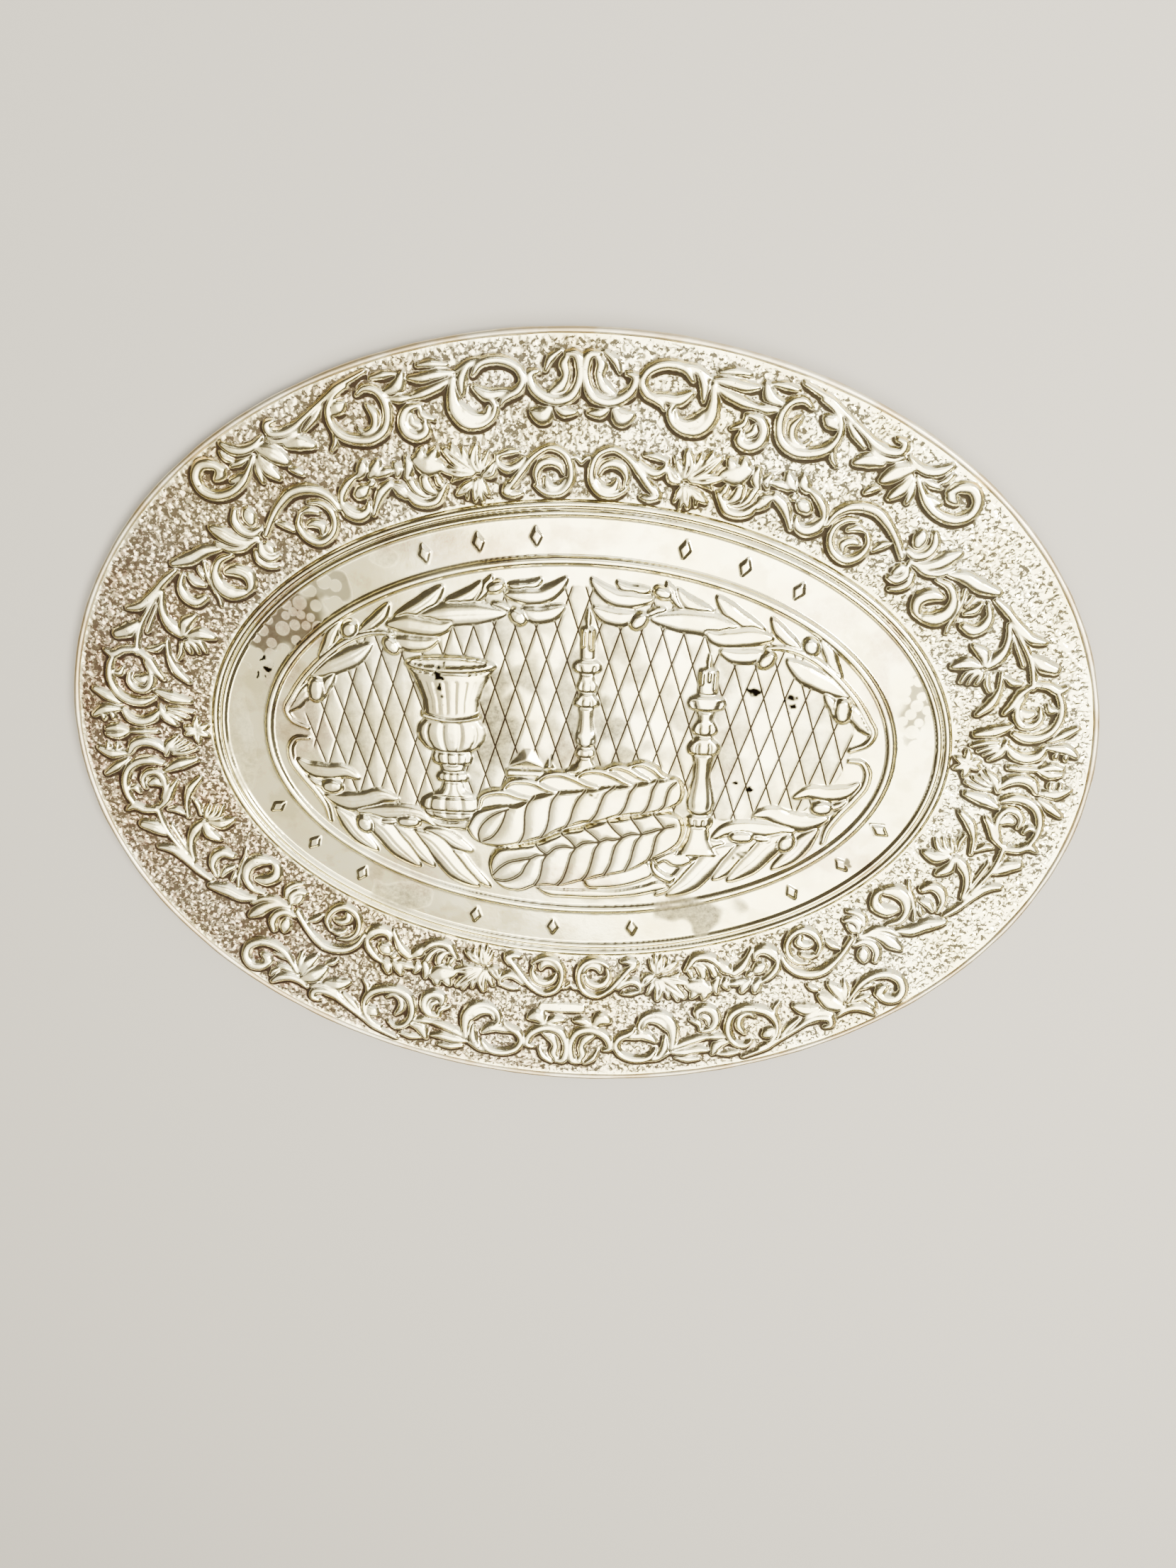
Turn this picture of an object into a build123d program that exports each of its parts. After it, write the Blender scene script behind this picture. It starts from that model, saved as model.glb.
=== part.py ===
from build123d import *
import math
import os

os.makedirs("parts", exist_ok=True)

# Driving dimensions in millimetres. +X runs along the long axis, +Y to the top of the picture, +Z up.
# The origin is the middle of the flat underside.
LENGTH = 356.0            # outside length over the rim wire
WIDTH = 274.0             # outside width over the rim wire
SHEET = 0.8               # thickness of the pressed sheet
RISE = 7.0                # how far the border climbs from the floor to the rim
RIM_WIRE = 2.2            # diameter of the wire round the edge
WELL_LENGTH = 263.2       # flat floor, measured at the foot of the border
WELL_WIDTH = 170.6
BAND_SIDE = 13.7          # smooth band between the twin beads and the medallion bead, at the sides
BAND_TOP = 12.7           # the same band at top and bottom
BEAD_OUTER = 2.7          # widths of the three beads
BEAD_INNER = 2.3
BEAD_MEDALLION = 3.2
BEAD_GAP = 0.4            # channel between the two beads of the twin moulding
BEAD_HEIGHT = 1.2
SCROLL_HEIGHT = 1.6       # relief of the scrolls and sprays on the border
LEAF_HEIGHT = 1.3         # relief of the wreath and the band ornament
FIGURE_HEIGHT = 2.8       # relief of the goblet, the candlesticks and the loaves
LOZENGE_LENGTH = 7.9      # chased lozenges on the smooth band
LOZENGE_WIDTH = 4.6
LOZENGE_HEIGHT = 0.8
TABLET_LENGTH = 14.0      # blank tablet low on the border
TABLET_WIDTH = 4.6
TABLET_CORNER = 1.2
TABLET_HEIGHT = 0.6
OLIVE_LENGTH = 5.8        # fruit of the wreath
OLIVE_WIDTH = 4.2
SEAM = 0.3                # clearance kept between neighbouring raised forms
GROOVE = 0.5              # width of the lines between the strands of a loaf
SOLDER = 0.05             # film of solder under each raised form

# Half axes of the ellipses that everything is tied to
RIM_A = LENGTH / 2 - RIM_WIRE / 2
RIM_B = WIDTH / 2 - RIM_WIRE / 2
WELL_A = WELL_LENGTH / 2
WELL_B = WELL_WIDTH / 2
TWIN_IN = SEAM + BEAD_OUTER + BEAD_GAP + BEAD_INNER
MED_A = WELL_A - TWIN_IN - BAND_SIDE
MED_B = WELL_B - TWIN_IN - BAND_TOP
FIELD_A = MED_A - BEAD_MEDALLION
FIELD_B = MED_B - BEAD_MEDALLION

# The drawing was read off at these half axes; points are carried over when a size changes
DRAWN_RIM = (176.9, 135.9)
DRAWN_WELL = (131.6, 85.3)
DRAWN_FIELD = (109.0, 63.7)


def level_of(x, y):
    # Share of the way from the foot of the border to the rim in the drawing
    low = 0.0
    high = 1.0
    for _ in range(40):
        mid = (low + high) / 2
        a = DRAWN_WELL[0] + (DRAWN_RIM[0] - DRAWN_WELL[0]) * mid
        b = DRAWN_WELL[1] + (DRAWN_RIM[1] - DRAWN_WELL[1]) * mid
        if (x / a) ** 2 + (y / b) ** 2 > 1:
            low = mid
        else:
            high = mid
    return (low + high) / 2


def on_border(x, y):
    # A drawn border point carried to the border of the present sizes
    s = level_of(x, y)
    a0 = DRAWN_WELL[0] + (DRAWN_RIM[0] - DRAWN_WELL[0]) * s
    b0 = DRAWN_WELL[1] + (DRAWN_RIM[1] - DRAWN_WELL[1]) * s
    angle = math.atan2(y / b0, x / a0)
    a = WELL_A + (RIM_A - WELL_A) * s
    b = WELL_B + (RIM_B - WELL_B) * s
    return a * math.cos(angle), b * math.sin(angle)


def on_field(x, y):
    # A drawn medallion point carried to the medallion of the present sizes
    return x * FIELD_A / DRAWN_FIELD[0], y * FIELD_B / DRAWN_FIELD[1]


def ellipse_face(a, b, z):
    return Pos(0, 0, z) * Ellipse(a, b)


def bowl(z):
    # Everything inside the dish above its surface, with the floor at height z
    sides = loft([ellipse_face(WELL_A, WELL_B, z), ellipse_face(RIM_A, RIM_B, z + RISE)], ruled=True)
    cap = extrude(ellipse_face(RIM_A, RIM_B, z + RISE), amount=20)
    return sides + cap


def dish_layer(low, high):
    # Layer between two copies of the dish surface
    trim = extrude(ellipse_face(RIM_A, RIM_B, -1), amount=RISE + high + 1)
    return (bowl(low) & trim) - bowl(high)


def half_width(widths, t):
    # Half width at share t of a stroke, straight between the listed ones
    place = t * (len(widths) - 1)
    first = min(int(place), len(widths) - 2)
    part = place - first
    return widths[first] * (1 - part) + widths[first + 1] * part


def stroke(points, widths, carry):
    # Tapering band along a smooth curve through the points
    path = Spline(*[carry(x, y) for x, y in points])
    steps = 2 * len(points)
    left = []
    right = []
    for i in range(steps + 1):
        t = i / steps
        p = path @ t
        d = path % t
        w = half_width(widths, t)
        left.append((p.X - d.Y * w, p.Y + d.X * w))
        right.append((p.X + d.Y * w, p.Y - d.X * w))
    right.reverse()
    edges = [Spline(*left), Line(left[-1], right[0]), Spline(*right), Line(right[-1], left[0])]
    return make_face(Wire(edges))


def lobes(middle, tips, width, carry):
    # Petals or leaf lobes from one middle point to each tip
    made = []
    for tip in tips:
        between = ((middle[0] + tip[0]) / 2, (middle[1] + tip[1]) / 2)
        made.append(stroke([middle, between, tip], [width * 0.6, width, width * 0.35], carry))
    return made


def joined(faces):
    # One flat outline from overlapping ones
    first = faces[0]
    return first.fuse(*faces[1:])


def raised(outline, height):
    # Outline lifted off the sheet, following its slope
    column = extrude(outline, amount=RISE + 8, dir=(0, 0, 1))
    return column & dish_layer(SHEET + SOLDER, SHEET + height)


def write(shape, name):
    solids = shape.solids() if hasattr(shape, "solids") else ShapeList(shape)
    body = solids[0] if len(solids) == 1 else Compound(children=list(solids))
    body.label = name
    export_step(body, f"parts/{name}.step")
    print(name, len(solids), "solid(s)", round(sum(s.volume for s in solids)), "mm3")


def bead(outer_a, outer_b, width, height):
    # Low half-round moulding standing on the floor inside the given ellipse
    a = outer_a - width / 2
    b = outer_b - width / 2
    track = Ellipse(a, b).edge()
    place = Plane(origin=track @ 0, x_dir=(1, 0, 0), z_dir=(0, -1, 0))
    arc = ThreePointArc((-width / 2, 0), (0, height), (width / 2, 0))
    section = place * make_face([arc, Line((width / 2, 0), (-width / 2, 0))])
    return Pos(0, 0, SHEET + SOLDER) * sweep(section, path=track)


# The pressed sheet and the wire that binds its edge
sheet = dish_layer(0, SHEET)
write(sheet, "tray_sheet")

edge_track = Pos(0, 0, RISE + SHEET / 2) * Ellipse(RIM_A, RIM_B)
edge_curve = edge_track.edge()
edge_place = Plane(origin=edge_curve @ 0, x_dir=(1, 0, 0), z_dir=(0, -1, 0))
rim_wire = sweep(edge_place * Circle(RIM_WIRE / 2), path=edge_curve) - sheet
write(rim_wire, "rim_wire")

# The three beads on the floor
twin_outer = bead(WELL_A - SEAM, WELL_B - SEAM, BEAD_OUTER, BEAD_HEIGHT)
inset = SEAM + BEAD_OUTER + BEAD_GAP
twin_inner = bead(WELL_A - inset, WELL_B - inset, BEAD_INNER, BEAD_HEIGHT)
medallion_bead = bead(MED_A, MED_B, BEAD_MEDALLION, BEAD_HEIGHT)
write(twin_outer, "twin_bead_outer")
write(twin_inner, "twin_bead_inner")
write(medallion_bead, "medallion_bead")

# Border drawing for the upper left quarter: points along each stroke and its half widths
OUTER_SCROLLS = [
    ([(-7.5, 126.2), (-5.8, 128.8), (-3.2, 127.6), (-2.2, 123), (-4, 118.6), (-8.7, 116.9), (-14, 118.3),
      (-17, 121.6), (-16.4, 124.6)], [0.6, 1.1, 1.2, 1.2, 0.7]),
    ([(-37.5, 120.5), (-36.6, 125), (-33, 127.8), (-28, 128.6), (-23, 127.7), (-19.8, 124.8), (-19.4, 121.4),
      (-21.6, 118.4), (-25.5, 116.8)], [0.8, 1.5, 1.5, 1.4, 0.8]),
    ([(-40.3, 122.5), (-41.8, 117.5), (-40.3, 111.8), (-36, 108.6), (-31.2, 109.1), (-28.3, 112.2),
      (-28.8, 115.4), (-31.5, 117)], [1.0, 1.6, 1.6, 1.2, 0.7]),
    ([(-41.5, 123.6), (-46.5, 124.6), (-51.5, 123.6), (-53.5, 120.8)], [0.4, 1.5, 1.5, 0.5]),
    ([(-42.2, 120.6), (-48, 118.4), (-54, 116), (-57.6, 112.5), (-58.2, 108.2), (-56, 105.2), (-52.9, 105),
      (-51.2, 107.2)], [0.8, 1.3, 1.5, 1.3, 0.7]),
    ([(-56, 117.8), (-58.6, 120.5), (-60.8, 122.6)], [0.6, 1.4, 0.5]),
    ([(-57, 116.4), (-61.5, 118.2), (-65, 119.4)], [0.6, 1.3, 0.5]),
    ([(-74, 118.2), (-78, 116.4), (-80.2, 112.2), (-79.3, 106.9), (-75.4, 103.2), (-69.9, 102.9),
      (-65, 105.7), (-63.2, 110.5), (-65, 115), (-69, 116.6)], [0.8, 1.4, 1.5, 1.5, 0.9]),
    ([(-71, 112), (-68, 110.8), (-67.2, 107.7), (-69.6, 105.9), (-72.8, 106.6)], [0.5, 0.9, 0.9, 0.5]),
    ([(-80.5, 116.4), (-85, 112.6), (-89.6, 108.2), (-94.4, 105.8), (-98.4, 105.2), (-100.4, 106.6)],
     [0.7, 1.2, 1.3, 1.2, 0.7]),
    ([(-83, 111.6), (-87, 107.6), (-91, 104.2), (-96, 102), (-101.5, 100.6), (-106, 97), (-109.5, 91),
      (-113.8, 86.9), (-119.4, 84.8), (-124.2, 86.4), (-125.8, 90), (-124, 93), (-120.8, 93.2),
      (-119, 90.6)],
     [0.7, 1.1, 1.2, 1.4, 1.5, 1.4, 0.7]),
    ([(-105, 98.4), (-110.5, 98.8), (-115.6, 98.2)], [0.5, 1.7, 0.4]),
    ([(-102.5, 99.4), (-99.6, 96.8), (-97.4, 93)], [0.7, 2.3, 0.6]),
    ([(-94.6, 101.6), (-91, 101.8), (-86.8, 100.8)], [0.6, 1.8, 0.6]),
    ([(-105.2, 95.4), (-103.2, 91.8), (-99.4, 90.2)], [0.6, 1.4, 0.5]),
    ([(-13.2, 116), (-14.8, 113), (-13, 110)], [0.7, 1.7, 0.7]),
    ([(-8.4, 115.4), (-6.4, 113.4), (-4, 113)], [0.7, 1.5, 0.6]),
]
INNER_SCROLLS = [
    ([(-25, 88.6), (-22.5, 91.8), (-18.5, 96.6), (-14, 100.8), (-9.6, 102), (-5.6, 99.6), (-4.4, 95.2),
      (-5.8, 91), (-9.9, 88.7), (-13.8, 90), (-15, 93.2), (-13, 95.6), (-10.2, 95)],
     [0.8, 1.1, 1.2, 1.1, 0.6]),
    ([(-28, 97.6), (-27, 94.9), (-23.8, 93.8), (-20.6, 95.4)], [0.6, 1.0, 0.9, 0.6]),
    ([(-61, 90.4), (-57.5, 86), (-52.5, 83.6), (-48, 84.9), (-45.3, 88.4), (-42.5, 92)],
     [0.7, 1.2, 1.1, 0.7]),
    ([(-55.5, 92.5), (-53, 88.4), (-48.8, 86.4)], [0.5, 0.9, 0.5]),
    ([(-60, 91), (-64.5, 93.8), (-69.6, 93)], [0.6, 1.8, 0.5]),
    ([(-57, 91.5), (-60.2, 95.2), (-61, 98.4)], [0.6, 1.6, 0.5]),
    ([(-73.5, 90), (-77.6, 86.8), (-79.3, 83), (-77.8, 79), (-74.3, 76.9), (-70.9, 78), (-69.8, 81.2),
      (-71.6, 83.6)], [0.6, 1.1, 1.2, 1.0, 0.6]),
    ([(-68.8, 80.4), (-67, 85), (-63.5, 89.5)], [0.6, 1.1, 0.6]),
    ([(-104.5, 72.6), (-102.8, 77), (-98.9, 81.8), (-93.5, 85.3), (-87.6, 86), (-83.2, 84.2), (-80.8, 80.9)],
     [0.8, 1.1, 1.2, 1.1, 0.7]),
    ([(-93.6, 79.6), (-94.1, 75.6), (-91.9, 71.7), (-87.6, 70), (-83.4, 71.8), (-82.1, 76.2), (-84.2, 80.6),
      (-88.5, 82.2)], [0.7, 1.1, 1.2, 1.1, 0.7]),
    ([(-91.3, 74.6), (-90.3, 77.2), (-87, 78.4), (-84.6, 76.8)], [0.5, 0.8, 0.8, 0.5]),
    ([(-104, 73.8), (-109, 70.5), (-115, 68.1), (-122, 67.6), (-129.5, 64.8), (-136.5, 62)],
     [0.7, 1.1, 1.5, 1.9, 0.5]),
    ([(-106.5, 75.8), (-109, 72.9), (-112.8, 73.3), (-114, 76.3), (-112.1, 78.6)], [0.6, 1.1, 1.1, 0.6]),
    ([(-109, 69), (-109, 65.3), (-106.8, 62.9), (-103.7, 62.8)], [0.6, 1.0, 1.0, 0.5]),
    ([(-113, 66.2), (-119, 65.6), (-123.9, 61.6), (-124.7, 55.6), (-121.2, 51.1), (-115.9, 50.4),
      (-112.6, 53.6), (-113.3, 58.2), (-117, 60.1), (-119.7, 58.3)], [0.8, 1.2, 1.3, 1.2, 0.7]),
    ([(-129.5, 61.3), (-134, 57.8), (-136.4, 53), (-135.4, 49), (-132.3, 47.5), (-129.3, 48.6)],
     [0.7, 1.1, 1.1, 0.6]),
]
SIDE_SPRAYS = [
    ([(-138, 58.8), (-143.5, 53.6), (-148, 47.8), (-151.3, 41.5), (-153.5, 35.5), (-155.2, 29.5),
      (-155.3, 25)], [0.8, 0.8, 0.8]),
    ([(-146.5, 50.4), (-150.5, 47.8), (-155, 47.2)], [0.5, 1.5, 0.4]),
    ([(-151, 43), (-154.5, 40.8), (-158.3, 37.6)], [0.6, 2.2, 0.9]),
    ([(-140, 56.2), (-143, 51.5), (-143.5, 46), (-141.5, 41), (-138.3, 37)], [0.6, 0.9, 1.7, 0.6]),
    ([(-144.3, 35.5), (-144, 30.5), (-142.7, 25.5), (-139, 21.4)], [0.6, 0.8, 1.7, 0.4]),
    ([(-144.5, 36), (-147.5, 33.7), (-150.6, 33.2)], [0.4, 1.2, 0.4]),
    ([(-153, 32), (-158.4, 31.9), (-163, 30.4), (-164.6, 25), (-163, 19), (-159.2, 14.9), (-154.5, 13.7),
      (-150.6, 15.3)], [0.9, 1.3, 1.4, 1.3, 0.8]),
    ([(-152.5, 32.2), (-150.4, 28), (-149.5, 23.6), (-147.2, 20.6)], [0.7, 1.1, 1.0, 0.6]),
    ([(-163, 14.8), (-167, 16.9), (-171, 19.4)], [0.6, 1.7, 0.5]),
    ([(-160.5, 10.8), (-166, 10.5), (-171.2, 8)], [0.6, 1.9, 0.5]),
    ([(-161.2, 11.3), (-159.2, 8.1), (-155.5, 6.8), (-151.6, 7.6), (-149.4, 9.6)], [0.7, 1.2, 1.2, 0.6]),
    ([(-149.5, 18.3), (-145, 16.7), (-139.4, 13.8)], [0.6, 2.0, 0.5]),
    ([(-148, 12.4), (-143.5, 11.2), (-139, 9.4)], [0.5, 1.2, 0.7]),
    ([(-147.9, 11), (-145.5, 8.8), (-143.2, 6.8)], [0.5, 1.0, 0.6]),
    ([(-168, 4.9), (-165, 5.2), (-161, 4.9)], [0.6, 1.5, 0.5]),
]
PALMETTE = ((-32.5, 93.5),
            [(-39.4, 98.6), (-35.4, 101.4), (-31, 101), (-42, 93.6), (-40.4, 88.8), (-36, 86.2)])
ROUND_LEAF = ((-51, 96.2), [(-54.8, 97.6), (-52, 100.2), (-48, 99.2), (-47, 95.4), (-50, 92.6)])
CARNATION = ((-137, 38.6),
             [(-136.6, 44), (-131.8, 44.2), (-129, 39.4), (-130.6, 34.6), (-134.6, 32.6), (-139, 32)])
BUD = ((-155.2, 21.8), 3.4)
SHIFT_OUTER = (0.6, -1.2)     # centring of the drawing on the tray, per group
SHIFT_INNER = (0.6, -0.8)
SHIFT_SIDE = (0.6, -2.6)


def moved(point, shift):
    return point[0] + shift[0], point[1] + shift[1]


def strokes_of(rows, shift):
    return [stroke([moved(p, shift) for p in points], widths, on_border) for points, widths in rows]


def lobes_of(group, width, shift):
    return lobes(moved(group[0], shift), [moved(t, shift) for t in group[1]], width, on_border)


QUARTERS = {
    "upper_left": [],
    "upper_right": [Plane.YZ],
    "lower_left": [Plane.XZ],
    "lower_right": [Plane.YZ, Plane.XZ],
}


def four_quarters(shape, name):
    # The same relief in the four quarters, mirrored about the two axes
    for quarter, planes in QUARTERS.items():
        copy = shape
        for plane in planes:
            copy = mirror(copy, about=plane)
        write(copy, f"{name}_{quarter}")


outer = raised(joined(strokes_of(OUTER_SCROLLS, SHIFT_OUTER)), SCROLL_HEIGHT)
four_quarters(outer, "outer_scrolls")
inner_faces = strokes_of(INNER_SCROLLS, SHIFT_INNER) + lobes_of(PALMETTE, 1.6, SHIFT_INNER)
inner_faces += lobes_of(ROUND_LEAF, 1.9, SHIFT_INNER)
inner = raised(joined(inner_faces), SCROLL_HEIGHT)
four_quarters(inner, "inner_scrolls")


# Side sprays: the drawn upper half, its mirror image, and the flower between them
spray_faces = strokes_of(SIDE_SPRAYS, SHIFT_SIDE) + lobes_of(CARNATION, 1.7, SHIFT_SIDE)
bud_middle = on_border(*moved(BUD[0], SHIFT_SIDE))
spray_faces.append(Pos(bud_middle[0], bud_middle[1], 0) * Circle(BUD[1]))
spray_half = raised(joined(spray_faces), SCROLL_HEIGHT)
flower_faces = lobes((-137, 0), [(-136.4, 4.4), (-133.6, 0), (-136.4, -4.4), (-140.8, 0)], 1.3, on_border)
flower = raised(joined(flower_faces), SCROLL_HEIGHT)
spray_solids = list(spray_half.solids()) + list(mirror(spray_half, about=Plane.XZ).solids())
spray = Compound(children=spray_solids + list(flower.solids()))
write(spray, "side_spray_left")
write(mirror(spray, about=Plane.YZ), "side_spray_right")

# Blank tablet low on the border
tablet_middle = on_border(-3.0, -107.0)
tablet_outline = RectangleRounded(TABLET_LENGTH, TABLET_WIDTH, TABLET_CORNER)
tablet = raised(Pos(tablet_middle[0], tablet_middle[1], 0) * tablet_outline, TABLET_HEIGHT)
write(tablet, "blank_tablet")

# Chased lozenges on the smooth band, in five groups
BAND_A = (MED_A + WELL_A - TWIN_IN) / 2
BAND_B = (MED_B + WELL_B - TWIN_IN) / 2
LOZENGE_A = LOZENGE_LENGTH / 2
LOZENGE_B = LOZENGE_WIDTH / 2
GROUPS = [(97, 116), (52, 73), (203, 228), (252, 281), (313, 338)]   # first and last angle of each group
lozenges = []
for first, last in GROUPS:
    for share in (0.0, 0.5, 1.0):
        angle = math.radians(first + (last - first) * share)
        middle = (BAND_A * math.cos(angle), BAND_B * math.sin(angle))
        turn = math.degrees(math.atan2(BAND_A * math.sin(angle), BAND_B * math.cos(angle)))
        rhomb = Polygon((LOZENGE_A, 0), (0, LOZENGE_B), (-LOZENGE_A, 0), (0, -LOZENGE_B))
        place = Pos(middle[0], middle[1], SHEET + SOLDER) * Rot(0, 0, turn)
        lozenges.append(place * extrude(rhomb, amount=LOZENGE_HEIGHT, taper=20))
write(Compound(children=lozenges), "band_lozenges")

# Medallion figures: turned shapes as flattened half rounds, given by height and half width
GOBLET_X = -44.2
GOBLET = [(-31, 6), (-29.5, 10), (-25.5, 11.6), (-21.5, 7), (-17, 3.6), (-15.6, 5.4), (-12, 5.6),
          (-11, 4.4), (-9, 4.6), (-8.2, 7), (-4.6, 7.2), (-3.6, 7.4), (0, 10.6), (4, 12), (7.4, 10),
          (9.4, 9.6), (14, 9.8), (20, 11.4), (26, 14.6), (29, 16), (30.6, 13)]
REAR_CANDLE_X = 3.3
REAR_CANDLE = [(-9.6, 6), (-7, 3.4), (-4.2, 2), (-3, 4.6), (-0.6, 4.6), (0.6, 3.4), (2.6, 4), (5, 3.2),
               (10, 2.5), (15, 3.2), (17, 4.7), (20, 3.5), (24, 3), (26.8, 3.6), (28, 5.2), (31, 4.8),
               (31.6, 2.4), (42, 2.3), (43, 0.9), (45.4, 1.3), (48.6, 0.3)]
FRONT_CANDLE_X = 45.0
FRONT_CANDLE = [(-38, 7), (-34, 3.6), (-29.4, 3), (-28.6, 4.5), (-25, 4.5), (-24, 3.6), (-20, 4.9),
                (-15, 4.5), (-8, 3.3), (-2, 3.9), (-0.8, 5.6), (2, 6.1), (4.8, 4.4), (5.8, 3.4), (6.6, 4.5),
                (9.6, 4.4), (11, 3.2), (14.8, 3.4), (15.6, 6), (18, 6.9), (20.4, 6), (21, 3.3), (29.6, 3.1),
                (30.4, 0.8), (32.4, 1), (34.6, 0.3)]
SX = FIELD_A / DRAWN_FIELD[0]
SY = FIELD_B / DRAWN_FIELD[1]


UPRIGHT = (Align.CENTER, Align.CENTER, Align.MIN)


def turned(profile, x):
    # Half of a turned body, flattened to the height of the relief
    widest = max(w for _, w in profile)
    sides = [(w, y) for y, w in profile]
    outline = Polyline((0, profile[0][0]), *sides, (0, profile[-1][0]), close=True)
    half = revolve(make_face(outline), axis=Axis.Y, revolution_arc=-180)
    depth = FIGURE_HEIGHT * min(1.0, widest / 8)
    return Pos(x * SX, 0, SHEET + SOLDER) * scale(half, by=(SX, SY, depth / widest))


def silhouette(profile, x, extra):
    # Column over a turned body, wider by the given clearance
    right = [((x + w) * SX + extra, y * SY) for y, w in profile]
    left = [((x - w) * SX - extra, y * SY) for y, w in reversed(profile)]
    low = (x * SX, profile[0][0] * SY - extra)
    high = (x * SX, profile[-1][0] * SY + extra)
    return extrude(make_face(Polyline(low, *right, high, *left, close=True)), amount=SHEET + 8)


def loaf_place(middle, tilt):
    return Pos(middle[0] * SX, middle[1] * SY, 0) * Rot(0, 0, tilt)


def loaf(middle, half_long, half_high, tilt, lines):
    # Domed loaf with lines cut between its strands
    dome = scale(Sphere(1, arc_size1=0, align=UPRIGHT), by=(half_long * SX, half_high * SY, FIGURE_HEIGHT))
    body = loaf_place(middle, tilt) * (Pos(0, 0, SHEET + SOLDER) * dome)
    cut_floor = SHEET + FIGURE_HEIGHT * 0.35
    for points in lines:
        column = extrude(stroke(points, [GROOVE / 2, GROOVE / 2], on_field), amount=8, dir=(0, 0, 1))
        body = body - Pos(0, 0, cut_floor) * column
    return body


def loaf_column(middle, half_long, half_high, tilt, extra):
    face = Ellipse(half_long * SX + extra, half_high * SY + extra)
    return extrude(loaf_place(middle, tilt) * face, amount=SHEET + 8)


REAR_LOAF = ((0.0, -22.8), 40.2, 11.6, 13.5)
FRONT_LOAF = ((4.8, -41.6), 36.8, 10.2, 17.5)
REAR_LINES = [
    [(-15, -20.5), (-18, -27), (-18.4, -33), (-20, -38.5)],
    [(-6.5, -18.5), (-8.6, -24), (-9.6, -30), (-11.6, -35.5)],
    [(4, -16.5), (0.5, -22), (-2, -28), (-4, -33.5)],
    [(14, -15), (10, -19.5), (7.5, -25), (5.4, -31)],
    [(21.5, -14), (19.5, -18), (17.3, -24), (16, -29)],
    [(29, -12), (27, -17), (24.5, -24.5)],
    [(36, -11.5), (33.5, -17), (31.5, -22.5)],
    [(-33, -22.5), (-18, -21), (-4, -18), (10, -15), (24, -12.4), (36, -10)],
]
FRONT_LINES = [
    [(-9.4, -42.4), (-10.8, -47.6), (-13.4, -55.5)],
    [(1.5, -39.5), (-1.4, -45), (-3.6, -50.6), (-6, -55)],
    [(9.6, -36.5), (7.5, -42), (4.6, -49.6), (3.6, -53)],
    [(18, -34), (15.8, -40), (12, -50)],
    [(25, -32.4), (22.4, -38), (19.8, -47.4)],
    [(33, -31), (30, -36.4), (28, -44)],
    [(-29, -50), (-20, -45.6), (-8, -42), (4, -38.2), (16, -34.4), (28, -31.4), (38, -30)],
]
front_loaf = loaf(*FRONT_LOAF, FRONT_LINES)
rear_loaf = loaf(*REAR_LOAF, REAR_LINES) - loaf_column(*FRONT_LOAF, SEAM)
write(front_loaf, "front_loaf")
write(rear_loaf, "rear_loaf")

both_loaves = loaf_column(*FRONT_LOAF, SEAM) + loaf_column(*REAR_LOAF, SEAM)
goblet = turned(GOBLET, GOBLET_X) - both_loaves
rear_candle = turned(REAR_CANDLE, REAR_CANDLE_X) - both_loaves
front_candle = turned(FRONT_CANDLE, FRONT_CANDLE_X) - both_loaves
write(goblet, "goblet")
write(rear_candle, "rear_candlestick")
write(front_candle, "front_candlestick")

SALT_OUTLINE = [(-24, -12), (-9.4, -12), (-9.4, -8), (-14, -2.2), (-18.4, -2.4), (-24, -8.4)]
salt_face = make_face(Polyline(*[on_field(x, y) for x, y in SALT_OUTLINE], close=True))
salt_front = extrude(Pos(0, 0, SHEET + SOLDER) * salt_face, amount=LEAF_HEIGHT, taper=15)
salt = salt_front - both_loaves - silhouette(REAR_CANDLE, REAR_CANDLE_X, SEAM)
write(salt, "salt_cellar")

# Olive wreath: the left branches, mirrored to the right
UPPER_BRANCH = [
    ([(-62.5, 36.6), (-67, 39), (-75, 37.4), (-84, 31), (-92.4, 22.6), (-97.6, 14), (-98.6, 7), (-96, 3)],
     [0.7, 0.9, 0.9, 0.8, 0.5]),
    ([(-2.6, 56.6), (-10, 53.2), (-20, 51.2)], [0.3, 1.7, 0.4]),
    ([(-6, 46.8), (-13, 46.2), (-21.6, 49.2)], [0.3, 1.6, 0.4]),
    ([(-23.6, 47.2), (-37, 47.2), (-52.6, 44.2)], [0.3, 1.7, 0.3]),
    ([(-28, 54.8), (-38, 52), (-49, 46.6)], [0.3, 1.5, 0.3]),
    ([(-43, 41.6), (-53, 40.6), (-65.4, 41.4)], [0.3, 1.7, 0.4]),
    ([(-49, 35.2), (-56, 34.4), (-63.4, 37)], [0.3, 1.6, 0.4]),
    ([(-71.6, 33.4), (-79, 30.4), (-88, 26)], [0.3, 1.5, 0.4]),
    ([(-81.6, 25.4), (-87, 23), (-92.4, 22)], [0.3, 1.2, 0.3]),
    ([(-89, 14.6), (-93.4, 12.6), (-98, 9)], [0.3, 1.4, 0.4]),
]
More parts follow.
